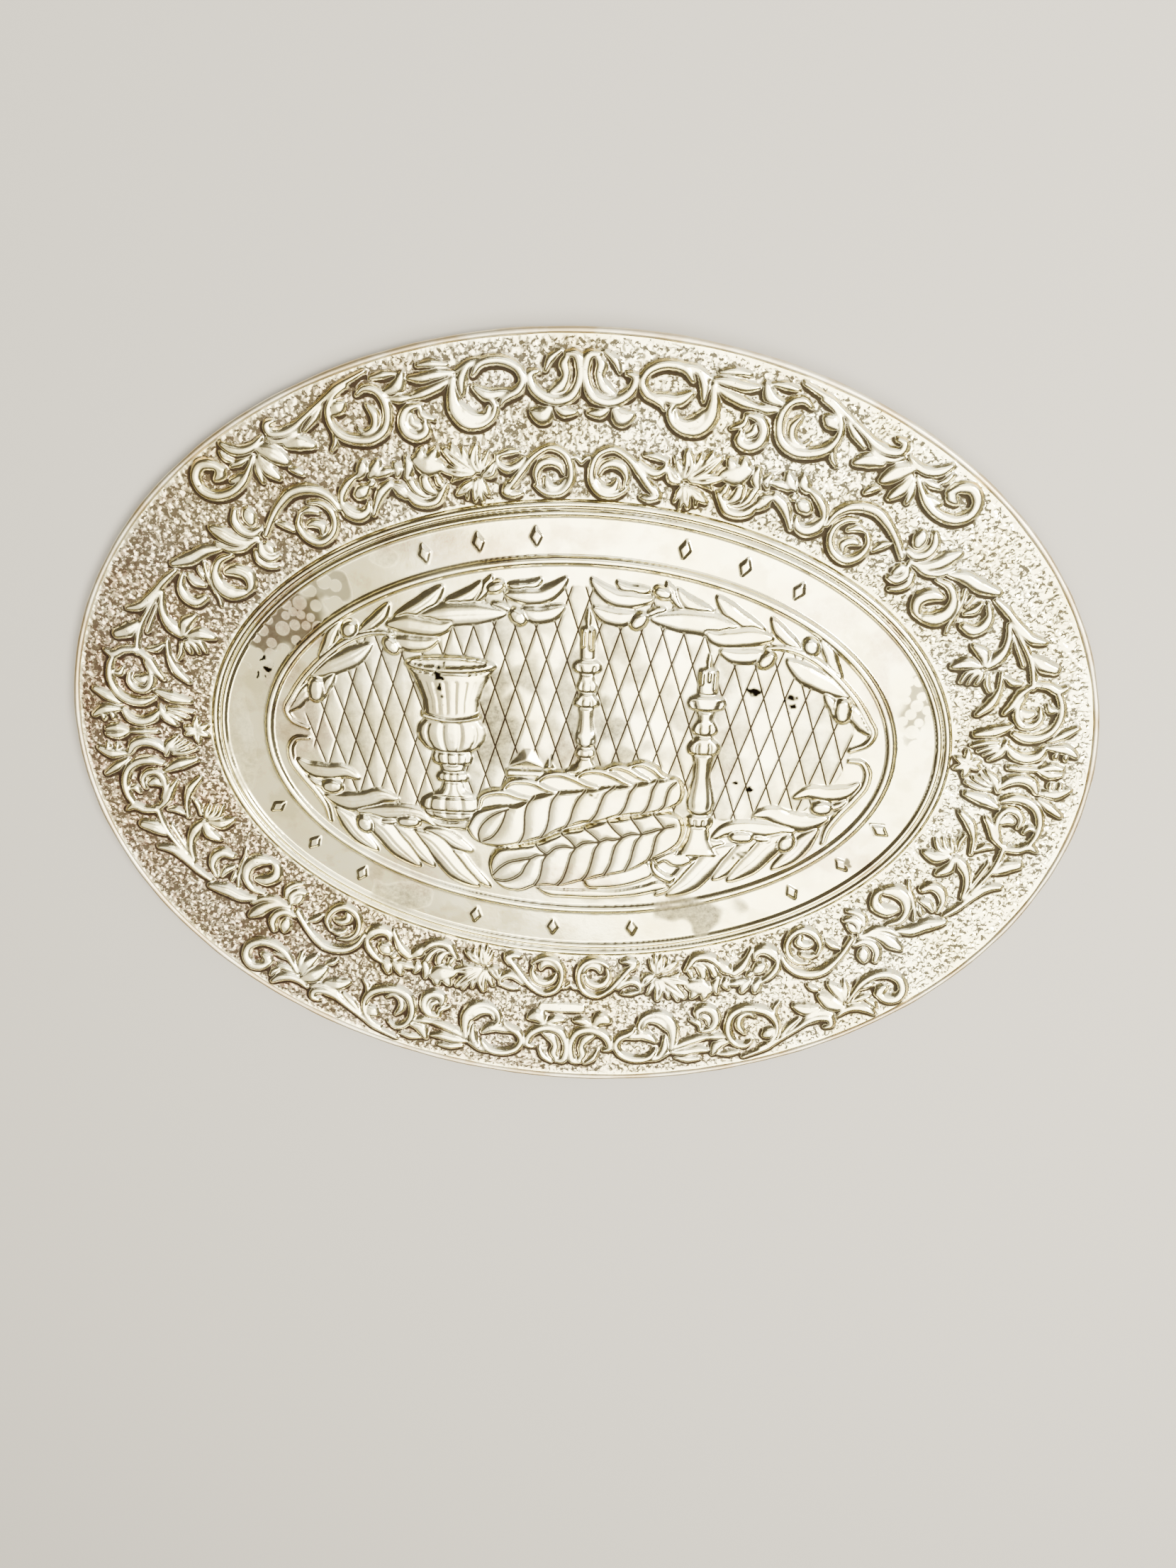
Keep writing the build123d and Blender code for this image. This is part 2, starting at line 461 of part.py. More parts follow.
LOWER_BRANCH = [
    ([(-96.4, -2.4), (-99.2, -5.6), (-98.6, -11.6), (-94.4, -19), (-88.6, -26.6), (-83.6, -32.4)],
     [0.5, 0.9, 0.9, 0.8, 0.4]),
    ([(-97.6, -12.2), (-89, -14), (-79.4, -16.2)], [0.4, 1.9, 0.3]),
    ([(-92, -23), (-79, -24.6), (-66, -23.6)], [0.4, 1.8, 0.3]),
    ([(-83.6, -28.6), (-71, -28.4), (-57.6, -27.6)], [0.3, 1.7, 0.3]),
    ([(-88.6, -27.6), (-81.6, -35), (-73.6, -40.6)], [0.3, 1.6, 0.3]),
    ([(-74, -31.4), (-69, -38.6), (-62.4, -45.6)], [0.4, 1.8, 0.3]),
    ([(-66.6, -32.6), (-60.6, -40.4), (-54.4, -47.6)], [0.4, 1.8, 0.3]),
    ([(-58.6, -36), (-49.6, -42.6), (-38.6, -52.6)], [0.4, 2.0, 0.3]),
    ([(-52.4, -35.6), (-45, -39.6), (-38, -43)], [0.4, 1.5, 0.3]),
]
OLIVES = [(-21.4, 46, 115), (-28.6, 55.0, 20), (-64.4, 33.6, 20), (-79, 38.6, 60), (-91.2, 16.8, 75),
          (-88.6, -19.6, 10), (-62.6, -32.4, 5), (-78.6, -33.6, 110)]


def olive(x, y, turn):
    middle = on_field(x, y)
    size = (OLIVE_LENGTH / 2, OLIVE_WIDTH / 2, LEAF_HEIGHT)
    half = scale(Sphere(1, arc_size1=0, align=UPRIGHT), by=size)
    return Pos(middle[0], middle[1], SHEET + SOLDER) * Rot(0, 0, turn) * half


def olive_column(x, y, turn):
    middle = on_field(x, y)
    face = Ellipse(OLIVE_LENGTH / 2 + SEAM, OLIVE_WIDTH / 2 + SEAM)
    return extrude(Pos(middle[0], middle[1], 0) * Rot(0, 0, turn) * face, amount=SHEET + 8)


figures = [silhouette(GOBLET, GOBLET_X, SEAM), silhouette(REAR_CANDLE, REAR_CANDLE_X, SEAM),
           silhouette(FRONT_CANDLE, FRONT_CANDLE_X, SEAM), both_loaves]
figure_block = figures[0].fuse(*figures[1:])
inside = extrude(ellipse_face(FIELD_A - SEAM, FIELD_B - SEAM, 0), amount=SHEET + 8)
olive_columns = [olive_column(*row) for row in OLIVES]


def branch(rows, side):
    outline = joined([stroke(points, widths, on_field) for points, widths in rows])
    column = extrude(outline, amount=LEAF_HEIGHT, dir=(0, 0, 1))
    for block in olive_columns:
        column = column - block
    solid = Pos(0, 0, SHEET + SOLDER) * column
    if side == "right":
        solid = mirror(solid, about=Plane.YZ)
    return (solid & inside) - figure_block


for side in ("left", "right"):
    write(branch(UPPER_BRANCH, side), f"olive_branch_upper_{side}")
    write(branch(LOWER_BRANCH, side), f"olive_branch_lower_{side}")
olives_left = [olive(*row) for row in OLIVES]
olives_both = olives_left + [mirror(one, about=Plane.YZ) for one in olives_left]
kept = [one - figure_block for one in olives_both]
write(Compound(children=[s for one in kept for s in one.solids()]), "olives")
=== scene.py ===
# %% [markdown]
# # An oval bread tray of pressed, silvered sheet
# The real tray is one thin sheet, raised from behind in a press and then silvered: a stippled border with
# scrolls, two beads, a smooth band, and a medallion in low relief. The file builds that relief as a map of
# heights in millimetres, drapes a fine mesh over the map, and gives the mesh a worn silver finish.

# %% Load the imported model
import bpy
import math
import numpy as np
from mathutils import Euler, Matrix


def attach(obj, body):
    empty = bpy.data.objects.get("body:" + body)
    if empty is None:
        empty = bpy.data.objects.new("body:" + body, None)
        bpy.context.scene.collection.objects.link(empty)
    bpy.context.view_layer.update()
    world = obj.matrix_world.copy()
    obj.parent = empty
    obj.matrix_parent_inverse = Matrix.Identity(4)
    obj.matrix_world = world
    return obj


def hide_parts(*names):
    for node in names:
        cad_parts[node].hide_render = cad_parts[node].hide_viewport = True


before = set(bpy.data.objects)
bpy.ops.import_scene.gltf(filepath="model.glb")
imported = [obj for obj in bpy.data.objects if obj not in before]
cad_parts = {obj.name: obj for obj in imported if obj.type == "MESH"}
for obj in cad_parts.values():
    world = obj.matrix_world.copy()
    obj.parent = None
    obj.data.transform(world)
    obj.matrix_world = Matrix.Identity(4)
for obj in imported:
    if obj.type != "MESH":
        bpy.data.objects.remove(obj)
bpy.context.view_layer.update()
MM = 0.001
print("nodes in the frame:", len(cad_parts))

# %% [markdown]
# ## Camera
# The photograph looks down on the tray from a little above its top edge, close by and with a wide lens.
# The place and the turn come from fitting a pinhole camera to the rim and the beads, so the picture
# overlays the photograph. The lens is worked out from the focal length in pixels of the long side.

# %% Camera at the photograph's angle
IMAGE_LONG_SIDE = 2212
FOCAL_PIXELS = 1500
SENSOR_WIDTH = 36
CAMERA_PLACE_MM = (22.4, 125.2, 357.1)
CAMERA_TURN_DEG = (-21.293, 3.392, 1.429)


def put(name, data):
    # New object with this data, linked to the scene
    thing = bpy.data.objects.new(name, data)
    bpy.context.scene.collection.objects.link(thing)
    return thing


camera_data = bpy.data.cameras.new("photo_camera")
camera_data.sensor_width = SENSOR_WIDTH
camera_data.lens = SENSOR_WIDTH * FOCAL_PIXELS / IMAGE_LONG_SIDE
camera_data.clip_start = 0.01
camera = put("photo_camera", camera_data)
camera.location = [c * MM for c in CAMERA_PLACE_MM]
camera.rotation_euler = Euler([math.radians(a) for a in CAMERA_TURN_DEG], "XYZ")
bpy.context.scene.camera = camera
print("lens", round(camera_data.lens, 2), "mm")

# %% [markdown]
# ## Sizes
# These repeat the sizes of the solids, because the mesh has to sit exactly where they are. Every ellipse is
# given by its two half axes.

# %% Sizes of the tray
RIM_WIRE = 2.2
RIM = (356 / 2 - RIM_WIRE / 2, 274 / 2 - RIM_WIRE / 2)
WELL = (131.6, 85.3)
MEDALLION = (112.2, 66.9)
SHEET = 0.8
RISE = 7.0
TWIN_BEADS = 5.7     # width that the two outer beads take up together
# Each bead is the inset of its middle, its width and its height
BEADS = [(0.3 + 1.35, 2.7, 1.25), (0.3 + 2.7 + 0.4 + 1.15, 2.3, 1.1)]
MEDALLION_BEAD = (1.6, 3.2, 1.25)
print("half axes of the rim:", RIM)

# %% [markdown]
# ## The map of heights
# A press tool for such a tray was once cut by hand: each scroll is one sweep of the graver. The map does
# the same. It is a grid of heights over the tray, and each form is pressed into it along a smooth line, with
# a width that swells and tapers. Where two forms meet, the higher one stays, which leaves a crisp crease.

# %% Grid of the map
STEP = 0.3
map_x = np.arange(-600, 601) * STEP
map_y = np.arange(-464, 465) * STEP
grid_x, grid_y = np.meshgrid(map_x, map_y)
print("map", grid_x.shape)


def read_map(field, x, y):
    # Value of a map between its grid points
    col = np.clip((x - map_x[0]) / STEP, 0, len(map_x) - 1.001)
    row = np.clip((y - map_y[0]) / STEP, 0, len(map_y) - 1.001)
    c = col.astype(int)
    r = row.astype(int)
    u = col - c
    v = row - r
    low = field[r, c] * (1 - u) + field[r, c + 1] * u
    high = field[r + 1, c] * (1 - u) + field[r + 1, c + 1] * u
    return low * (1 - v) + high * v


def soften(field, reach):
    # Gaussian blur of a map, with reach in millimetres
    count = int(3 * reach / STEP) + 1
    weights = np.exp(-0.5 * (np.arange(-count, count + 1) * STEP / reach) ** 2)
    weights /= weights.sum()
    for axis in (0, 1):
        pad = [(0, 0), (0, 0)]
        pad[axis] = (count, count)
        wide = np.pad(field, pad, mode="edge")
        size = field.shape[axis]
        field = sum(w * wide.take(range(i, i + size), axis) for i, w in enumerate(weights))
    return field


def fade(low, high, value):
    # Smooth step from 0 at low to 1 at high
    t = np.clip((value - low) / (high - low), 0, 1)
    return t * t * (3 - 2 * t)


# %% Smooth line through drawn points
def smooth_line(points, spacing=0.35):
    p = np.array(points, float)
    gaps = np.hypot(*np.diff(p, axis=0).T)
    knots = np.concatenate([[0], np.cumsum(gaps)])
    if len(p) > 2:
        slopes = np.gradient(p, knots, axis=0)
    else:
        slopes = np.repeat((p[1:] - p[:1]) / gaps[0], 2, axis=0)
    steps = np.linspace(0, knots[-1], max(6, int(knots[-1] / spacing)))
    i = np.clip(np.searchsorted(knots, steps) - 1, 0, len(gaps) - 1)
    t = ((steps - knots[i]) / gaps[i])[:, None]
    span = gaps[i][:, None]
    line = ((2 * t**3 - 3 * t**2 + 1) * p[i] + (t**3 - 2 * t**2 + t) * span * slopes[i]
            + (3 * t**2 - 2 * t**3) * p[i + 1] + (t**3 - t**2) * span * slopes[i + 1])
    return line, steps / knots[-1]


# %% [markdown]
# Three cross sections are enough for most of the ornament. A reed is a broad band with a faint channel along
# its inner side, as on the scrolls. A leaf has a faint vein down its middle. A plain one is half round.
# In each of them r runs from 0 on the line to 1 at the edge, and side is the same with a sign.

# %% Cross sections of the pressed forms
def reed(r, side):
    return (1 - r**3.2) ** 0.6 * (1 - 0.05 * np.exp(-(((side - 0.4) / 0.14) ** 2)))


def leaf(r, side):
    return (1 - r**2.3) ** 0.7 * (1 - 0.1 * np.exp(-((side / 0.1) ** 2)))


def plain(r, side):
    return np.sqrt(1 - r**2.8)


NARROW_SHARE = 0.6     # height that a form keeps where it is narrowest


def press(field, points, widths, height, section):
    # Raise one form on the map along its line
    line, share = smooth_line(points)
    half = np.sqrt(np.interp(share, np.linspace(0, 1, len(widths)), np.square(widths)))
    along = np.gradient(line, axis=0)
    along /= np.hypot(*along.T)[:, None]
    turning = np.sum(along[:-1, 0] * along[1:, 1] - along[:-1, 1] * along[1:, 0])
    inner = 1 if turning >= 0 else -1
    reach = half.max() + STEP
    low = line.min(axis=0) - reach
    high = line.max(axis=0) + reach
    cols = slice(*np.searchsorted(map_x, (low[0], high[0])))
    rows = slice(*np.searchsorted(map_y, (low[1], high[1])))
    dx = grid_x[rows, cols][..., None] - line[:, 0]
    dy = grid_y[rows, cols][..., None] - line[:, 1]
    ratio = (dx**2 + dy**2) / half**2
    near = ratio.argmin(axis=-1)
    pick = near[..., None]
    r = np.sqrt(np.take_along_axis(ratio, pick, -1)[..., 0])
    side = (np.take_along_axis(dy, pick, -1)[..., 0] * along[near, 0]
            - np.take_along_axis(dx, pick, -1)[..., 0] * along[near, 1]) / half[near] * inner
    top = height * (NARROW_SHARE + (1 - NARROW_SHARE) * half[near] / half.max())
    raised = np.where(r < 1, top * section(np.clip(r, 0, 1), side), 0)
    field[rows, cols] = np.maximum(field[rows, cols], raised)


def press_all(field, rows, shift=(0, 0), spread=1):
    for section, height, widths, points in rows:
        moved = [(x + shift[0], y + shift[1]) for x, y in points]
        press(field, moved, [spread * w for w in widths], height, section)


# %% [markdown]
# ## Scrolls of the border
# The border is the same in its four quarters, so only the upper left quarter is drawn. Each row gives the
# cross section, the height, the half widths from one end to the other, and the points of the line, all in
# millimetres from the middle of the tray. The outer row of scrolls comes first, from the middle leftwards.

# %% Outer row of scrolls
OUTER_ROW = [
    (reed, 1.6, (0.8, 1.5, 1.3, 1.4, 1.6, 1.6, 1.6, 1.5, 1.3, 0.7),
     [(-5.6, 130.4), (-2.6, 130), (-1.5, 126.5), (-1.8, 122), (-4.2, 118), (-8.6, 116.6), (-13, 117.8),
      (-16.4, 121), (-16.8, 124.2), (-14.4, 125)]),
    (leaf, 1.4, (0.9, 1.6, 1.3, 1.8, 1.0),
     [(-4.8, 130), (-6.3, 127.6), (-5.7, 124.4), (-7.2, 121), (-10.5, 118.8)]),
    (leaf, 1.2, (0.4, 1.2, 0.5), [(-12.2, 125.2), (-10.6, 128.6), (-7, 131.4)]),
    (leaf, 1.5, (0.8, 2.6, 1.2), [(-16.4, 113), (-13, 112), (-10.6, 114.6)]),
    (leaf, 1.4, (0.7, 1.7, 0.5), [(-9.4, 115), (-6.6, 113.4), (-2.4, 113.2)]),
    (reed, 1.7, (0.6, 1.2, 1.4, 1.4, 1.4, 1.3, 1.3, 1.4, 1.2, 0.5),
     [(-34.8, 123.4), (-32.4, 126.6), (-28, 127.9), (-24, 127.5), (-20.4, 125.4), (-19.1, 122.4),
      (-20.6, 119.4), (-23.6, 117.6), (-25.6, 116), (-26.2, 114.6)]),
    (leaf, 1.6, (1.1, 1.6, 0.6), [(-36.2, 126.2), (-38.2, 122.6), (-38.3, 117.6)]),
    (leaf, 1.4, (0.8, 1.5, 0.7), [(-31, 128), (-35, 126.8), (-39.8, 124.4)]),
    (leaf, 1.5, (1.2, 1.6, 1.9, 0.6), [(-22, 118.6), (-26, 118.2), (-30.4, 117.7), (-34.8, 120)]),
    (reed, 1.7, (0.9, 1.5, 2.1, 2.0, 1.4, 1.1, 1.0, 0.5),
     [(-41, 122.4), (-41.3, 117), (-40, 111.8), (-36.4, 108.7), (-32, 108.9), (-28.7, 111.6),
      (-28.1, 115), (-30.6, 117)]),
    (leaf, 1.6, (0.8, 2.2, 1.9, 1.2, 0.6),
     [(-39.6, 115), (-37.4, 111.8), (-33.6, 110.7), (-30.7, 111.8), (-29.9, 114.4)]),
    (leaf, 1.4, (0.8, 1.5, 1.5, 0.8), [(-41, 122.4), (-46, 119.6), (-51, 117.4), (-55.4, 116)]),
    (leaf, 1.5, (0.7, 1.7, 1.6, 0.6), [(-41, 124), (-46, 123.2), (-51.4, 122), (-55, 122)]),
    (leaf, 1.2, (0.5, 1.3, 0.6), [(-42.6, 126.2), (-47.4, 126.4), (-52, 125.8)]),
    (leaf, 1.5, (1.0, 2.0, 0.6), [(-62.4, 117.6), (-59, 119), (-56.8, 123.6)]),
    (leaf, 1.4, (0.7, 1.5, 0.5), [(-62, 115.8), (-58, 115.8), (-53.4, 116.6)]),
    (leaf, 1.2, (0.6, 1.2, 0.5), [(-67, 121.6), (-62.6, 122.8), (-58.8, 123.2)]),
    (reed, 1.6, (0.7, 1.3, 1.5, 1.7, 1.7, 1.5, 0.8),
     [(-52.4, 114), (-56, 112.6), (-57.5, 109), (-56.1, 105.7), (-52.8, 104.6), (-50.2, 106.3),
      (-50.5, 109)]),
    (leaf, 1.4, (0.8, 1.4, 1.3), [(-54.6, 111), (-54.3, 108.8), (-52.6, 107.9)]),
    (leaf, 1.3, (0.4, 1.2, 0.5), [(-51.6, 114.4), (-51.4, 111.6), (-47.4, 109.8)]),
    (reed, 1.7, (0.5, 1.2, 1.2, 1.4, 1.4, 1.5, 1.6, 1.6, 1.5, 1.1, 0.9, 0.8, 0.5),
     [(-71.6, 116.6), (-69, 118.6), (-65.6, 118.2), (-62.8, 115), (-62.1, 110.6), (-63.4, 106.4),
      (-67.4, 103.5), (-72.6, 103.1), (-77.6, 104.6), (-80.5, 108.2), (-80.8, 112.6), (-78.6, 116.2),
      (-74.6, 119)]),
    (leaf, 1.5, (0.6, 1.4, 1.3, 1.1, 0.5),
     [(-68.6, 113.8), (-66.2, 110.6), (-66.7, 107), (-69.6, 105.2), (-72, 106.6)]),
    (plain, 1.5, (1.2, 2.0, 1.0), [(-79.2, 111.4), (-77.8, 112.7), (-76.2, 113.8)]),
    (leaf, 1.2, (0.9, 0.9, 0.4), [(-79.4, 105), (-79.4, 102), (-81, 99.4)]),
    (reed, 1.3, (0.6, 0.9, 1.0, 0.9, 0.8, 0.7, 0.5),
     [(-68.6, 123.6), (-73, 121.2), (-77.4, 118.8), (-81, 115.8), (-86, 111.8), (-91, 108),
      (-96, 106)]),
    (leaf, 1.3, (0.4, 1.2, 0.6), [(-82.4, 113.4), (-85.4, 109.4), (-89, 105.4)]),
    (leaf, 1.5, (0.8, 2.4, 0.9), [(-95.6, 100.6), (-91, 101.8), (-86.6, 100.8)]),
    (plain, 1.2, (0.6, 1.1, 0.6), [(-95, 93.4), (-92.8, 92.8), (-91, 91.8)]),
    (reed, 1.6, (0.7, 1.3, 1.4, 1.3, 1.2, 1.0, 0.8),
     [(-98.6, 108.2), (-100.8, 107), (-100.3, 104.8), (-96.6, 104.4), (-92.4, 106.2), (-88.6, 109.4),
      (-85, 112.6)]),
    (leaf, 1.3, (0.6, 1.1, 1.2, 0.6), [(-101.4, 102.8), (-97.6, 101.9), (-93, 103.8), (-89.8, 107)]),
    (leaf, 1.5, (0.8, 1.7, 1.6, 1.3, 0.5),
     [(-116.2, 100.8), (-113.4, 99.2), (-109.4, 98.8), (-105.6, 100.4), (-102.8, 103.4)]),
    (leaf, 1.3, (0.5, 1.2, 0.6), [(-116.8, 98.4), (-115.4, 96.6), (-113, 95.4)]),
    (leaf, 1.2, (0.5, 1.2, 0.6), [(-114, 93.8), (-111, 95), (-107.6, 96.8)]),
    (reed, 1.7, (0.5, 0.9, 1.3, 1.4, 1.5, 1.6, 1.5, 1.6, 1.7, 1.2),
     [(-106.2, 97.4), (-108.2, 93), (-111, 88.6), (-115.4, 85.3), (-120.4, 84.4), (-124.5, 86.5),
      (-125.6, 90.4), (-123.6, 93.8), (-119.6, 94.2), (-116.8, 92.6)]),
    (leaf, 1.5, (1.0, 1.8, 0.6), [(-118.4, 93.6), (-117.6, 91.4), (-119.6, 89.4)]),
    (leaf, 1.3, (0.8, 1.3, 0.5), [(-114.4, 89.2), (-112.4, 89.8), (-110, 91.6)]),
    (leaf, 1.6, (0.8, 3.0, 1.2), [(-105, 99.6), (-101, 98.6), (-95.8, 95.6)]),
    (leaf, 1.5, (0.7, 2.2, 0.9), [(-104.6, 97.4), (-102.6, 93.8), (-98.8, 90.4)]),
    (leaf, 1.3, (0.5, 1.4, 0.6), [(-105.4, 96.6), (-105, 92.4), (-104.2, 89)]),
]
print("forms in the outer row:", len(OUTER_ROW))

# %% Inner row of scrolls
INNER_ROW = [
    (reed, 1.6, (0.8, 1.2, 1.2, 1.1, 1.0, 1.1, 1.1, 1.2, 1.2, 1.0, 0.5),
     [(-25.2, 87.4), (-22.8, 90.6), (-19.4, 95), (-15.6, 99.4), (-10.6, 102), (-6, 100.2), (-4, 96),
      (-4.2, 91.6), (-7.4, 88), (-12, 87.8), (-15.6, 90)]),
    (leaf, 1.4, (0.4, 0.9, 1.5, 1.6, 1.3, 0.6),
     [(-14.6, 90.4), (-15.3, 93.6), (-13.6, 96.8), (-10.4, 97.7), (-7.4, 96.4), (-6.2, 94)]),
    (leaf, 1.4, (0.5, 1.5, 1.7, 1.4, 0.7),
     [(-12.2, 92.4), (-11.2, 90), (-9, 89.2), (-6.8, 90.2), (-5.6, 92.6)]),
    (reed, 1.5, (0.8, 1.3, 1.2, 0.5), [(-24.4, 90.4), (-25.1, 87.8), (-22.6, 87), (-20, 87.4)]),
    (reed, 1.5, (0.6, 1.1, 1.4, 1.3, 0.8),
     [(-28, 99.2), (-27.3, 96.5), (-24.6, 95), (-21.2, 96.2), (-19, 98.4)]),
    (leaf, 1.3, (0.8, 1.1, 0.5), [(-27, 99.2), (-24, 100.2), (-20.6, 100.6)]),
    (leaf, 1.1, (0.4, 0.8, 0.6), [(-4.6, 99.4), (-2, 99), (-0.6, 97.6)]),
    (leaf, 1.5, (0.7, 1.1, 1.7, 1.5), [(-69, 78.8), (-67.8, 82.4), (-66, 86.2), (-63, 89)]),
    (reed, 1.5, (0.6, 1.2, 1.3, 0.9), [(-73.6, 91.6), (-77, 88.4), (-79, 84.8), (-79.2, 82.4)]),
    (leaf, 1.6, (1.0, 2.1, 2.1, 1.5, 0.6),
     [(-79.2, 82.4), (-77, 79.6), (-73.4, 78.6), (-70.8, 80.3), (-70.4, 82.8)]),
    (plain, 1.6, (1.6, 2.1, 1.6), [(-73.4, 85.4), (-72.4, 86.2), (-71.4, 87)]),
    (plain, 1.4, (0.9, 1.2, 0.9), [(-69.6, 88.7), (-69, 88.9), (-68.4, 89.1)]),
    (leaf, 1.5, (0.8, 1.9, 0.8), [(-73, 91), (-71.6, 93.4), (-71.4, 96)]),
    (leaf, 1.5, (0.8, 1.9, 0.8), [(-69.4, 91.2), (-67.4, 93.6), (-66.4, 96.4)]),
    (leaf, 1.4, (0.7, 1.5, 0.6), [(-67.4, 91.4), (-63.6, 93), (-60.8, 93.4)]),
    (reed, 1.7, (0.8, 1.2, 1.5, 1.6, 1.5, 1.2, 1.1, 1.0),
     [(-80.4, 80.6), (-82.4, 83.8), (-86, 86.2), (-90.6, 86.8), (-95.4, 85.5), (-99.4, 81.8),
      (-102.8, 76.8), (-105.4, 71.4)]),
    (reed, 1.6, (0.5, 1.0, 1.1, 1.1, 1.2, 1.4, 1.3, 1.0, 0.5),
     [(-90.4, 82.4), (-86.4, 82.4), (-83.2, 80.2), (-82, 76.2), (-83.6, 71.8), (-87.6, 69.4),
      (-92, 71.1), (-94.2, 75), (-93.2, 79)]),
    (leaf, 1.3, (0.5, 1.2, 0.8), [(-92.8, 79), (-90.4, 80), (-87.4, 79.4)]),
    (leaf, 1.4, (0.6, 1.4, 1.5, 0.8), [(-91.4, 74.8), (-89, 75.6), (-86.2, 74.4), (-86.6, 72.2)]),
    (leaf, 1.1, (0.4, 1.2, 0.6), [(-101.6, 75.6), (-98.4, 74.6), (-96, 73)]),
    (reed, 1.5, (0.9, 1.4, 1.5, 1.4, 1.0),
     [(-114.6, 79.2), (-115, 75.6), (-112.9, 72.6), (-109.6, 71.8), (-106.8, 73.4)]),
    (plain, 1.5, (1.2, 2.1, 1.4), [(-110.6, 79.2), (-110.2, 77.2), (-109.8, 75.6)]),
    (leaf, 1.6, (1.0, 2.3, 2.1, 1.5, 0.8),
     [(-123.2, 73.4), (-120.4, 71.8), (-116.6, 69.5), (-112, 68.7), (-108, 70)]),
    (reed, 1.5, (0.9, 1.4, 1.4, 0.8), [(-107.6, 68.4), (-107.2, 65.2), (-104.6, 63.6), (-102.2, 64.4)]),
    (plain, 1.4, (1.3, 1.5, 1.1), [(-105.6, 67.8), (-104.8, 66.8), (-104, 66)]),
    (reed, 1.3, (0.7, 1.2, 1.1, 0.6), [(-109.6, 66), (-108.6, 62.6), (-105.4, 60.8), (-103, 60.6)]),
    (leaf, 1.7, (0.8, 2.0, 2.2, 1.1), [(-121, 66.4), (-126, 65.8), (-131, 63.2), (-137.4, 61.2)]),
    (leaf, 1.4, (0.6, 1.2, 1.2, 0.8), [(-122.4, 68.4), (-118, 66.4), (-113, 67), (-110, 69)]),
    (reed, 1.7, (0.6, 1.1, 1.3, 1.9, 2.3, 1.5),
     [(-117.6, 64.4), (-122, 62.2), (-123.9, 58), (-122.7, 53.5), (-119, 51.2), (-115.6, 51.4)]),
    (leaf, 1.6, (1.0, 2.1, 2.1, 1.5, 0.8),
     [(-120.2, 58.6), (-116.6, 59.2), (-113, 57.4), (-112.6, 53.6), (-114.4, 51.2)]),
    (reed, 1.5, (0.7, 1.0, 1.6, 1.7, 1.2),
     [(-134.8, 57.4), (-136, 53), (-134.5, 49.4), (-131.6, 48), (-128.6, 49.4)]),
    (leaf, 1.4, (0.8, 1.4, 0.7), [(-132.8, 57.2), (-131, 55), (-128, 53.8)]),
    (leaf, 1.2, (0.6, 0.9, 0.4), [(-129.4, 59.4), (-128.4, 57.6), (-128, 56)]),
    (plain, 1.1, (0.6, 0.7, 0.7, 0.6, 0.4),
     [(-127, 61.6), (-126.5, 57), (-125.3, 53), (-123.6, 49), (-123.4, 46.6)]),
]
print("forms of the inner row without its large leaves:", len(INNER_ROW))


# %% Palmette and round leaf of the inner row
def frond(r, side):
    # A lobe of a leaf, with a deep vein
    return (1 - r**3) ** 0.6 * (1 - 0.35 * np.exp(-((side / 0.16) ** 2)))


def fan(middle, tips, width, height):
    # Leaf lobes or petals that spread from one point
    rows = []
    for tip in tips:
        half_way = ((middle[0] + tip[0]) / 2, (middle[1] + tip[1]) / 2)
        rows.append((frond, height, (width * 0.3, width, width * 0.35), [middle, half_way, tip]))
    return rows


PALMETTE = [
    (frond, 1.7, (0.6, 1.8, 0.8), [(-33.6, 93.6), (-35, 97.4), (-34.4, 102)]),
    (frond, 1.5, (0.5, 1.2, 0.6), [(-34.6, 93.4), (-37.4, 96.8), (-38.8, 101)]),
    (frond, 1.7, (0.6, 2.0, 1.0), [(-35.6, 93.8), (-39.8, 96.4), (-44.6, 100.2)]),
    (frond, 1.5, (0.6, 1.3, 0.6), [(-39, 97.4), (-41.6, 99.8), (-42.4, 101.8)]),
    (frond, 1.7, (0.6, 1.7, 0.8), [(-35.6, 92.8), (-40.6, 93.4), (-45.8, 94.2)]),
    (frond, 1.4, (0.7, 0.9, 0.4), [(-39, 92), (-41.4, 91.6), (-42.6, 90.6)]),
    (frond, 1.6, (0.5, 1.6, 0.6), [(-35.4, 91), (-38, 88.6), (-41, 86.4)]),
    (frond, 1.4, (0.5, 0.9, 0.4), [(-36.8, 89.4), (-37.8, 87), (-37.8, 85)]),
    (frond, 1.6, (0.6, 1.5, 0.6), [(-34.2, 91.6), (-34.6, 88.6), (-35.2, 84.6)]),
    (frond, 1.4, (0.5, 0.9, 0.4), [(-33.8, 90), (-33.4, 87), (-32.8, 84.2)]),
    (frond, 1.4, (0.5, 1.0, 0.5), [(-33.2, 91.6), (-32.2, 89), (-31, 86.4)]),
    (frond, 1.7, (0.6, 1.8, 0.8), [(-32.6, 92.4), (-30.2, 93.6), (-28.6, 96.6)]),
    (frond, 1.4, (0.4, 1.0, 0.5), [(-33, 94), (-31.9, 97), (-30.6, 100)]),
]
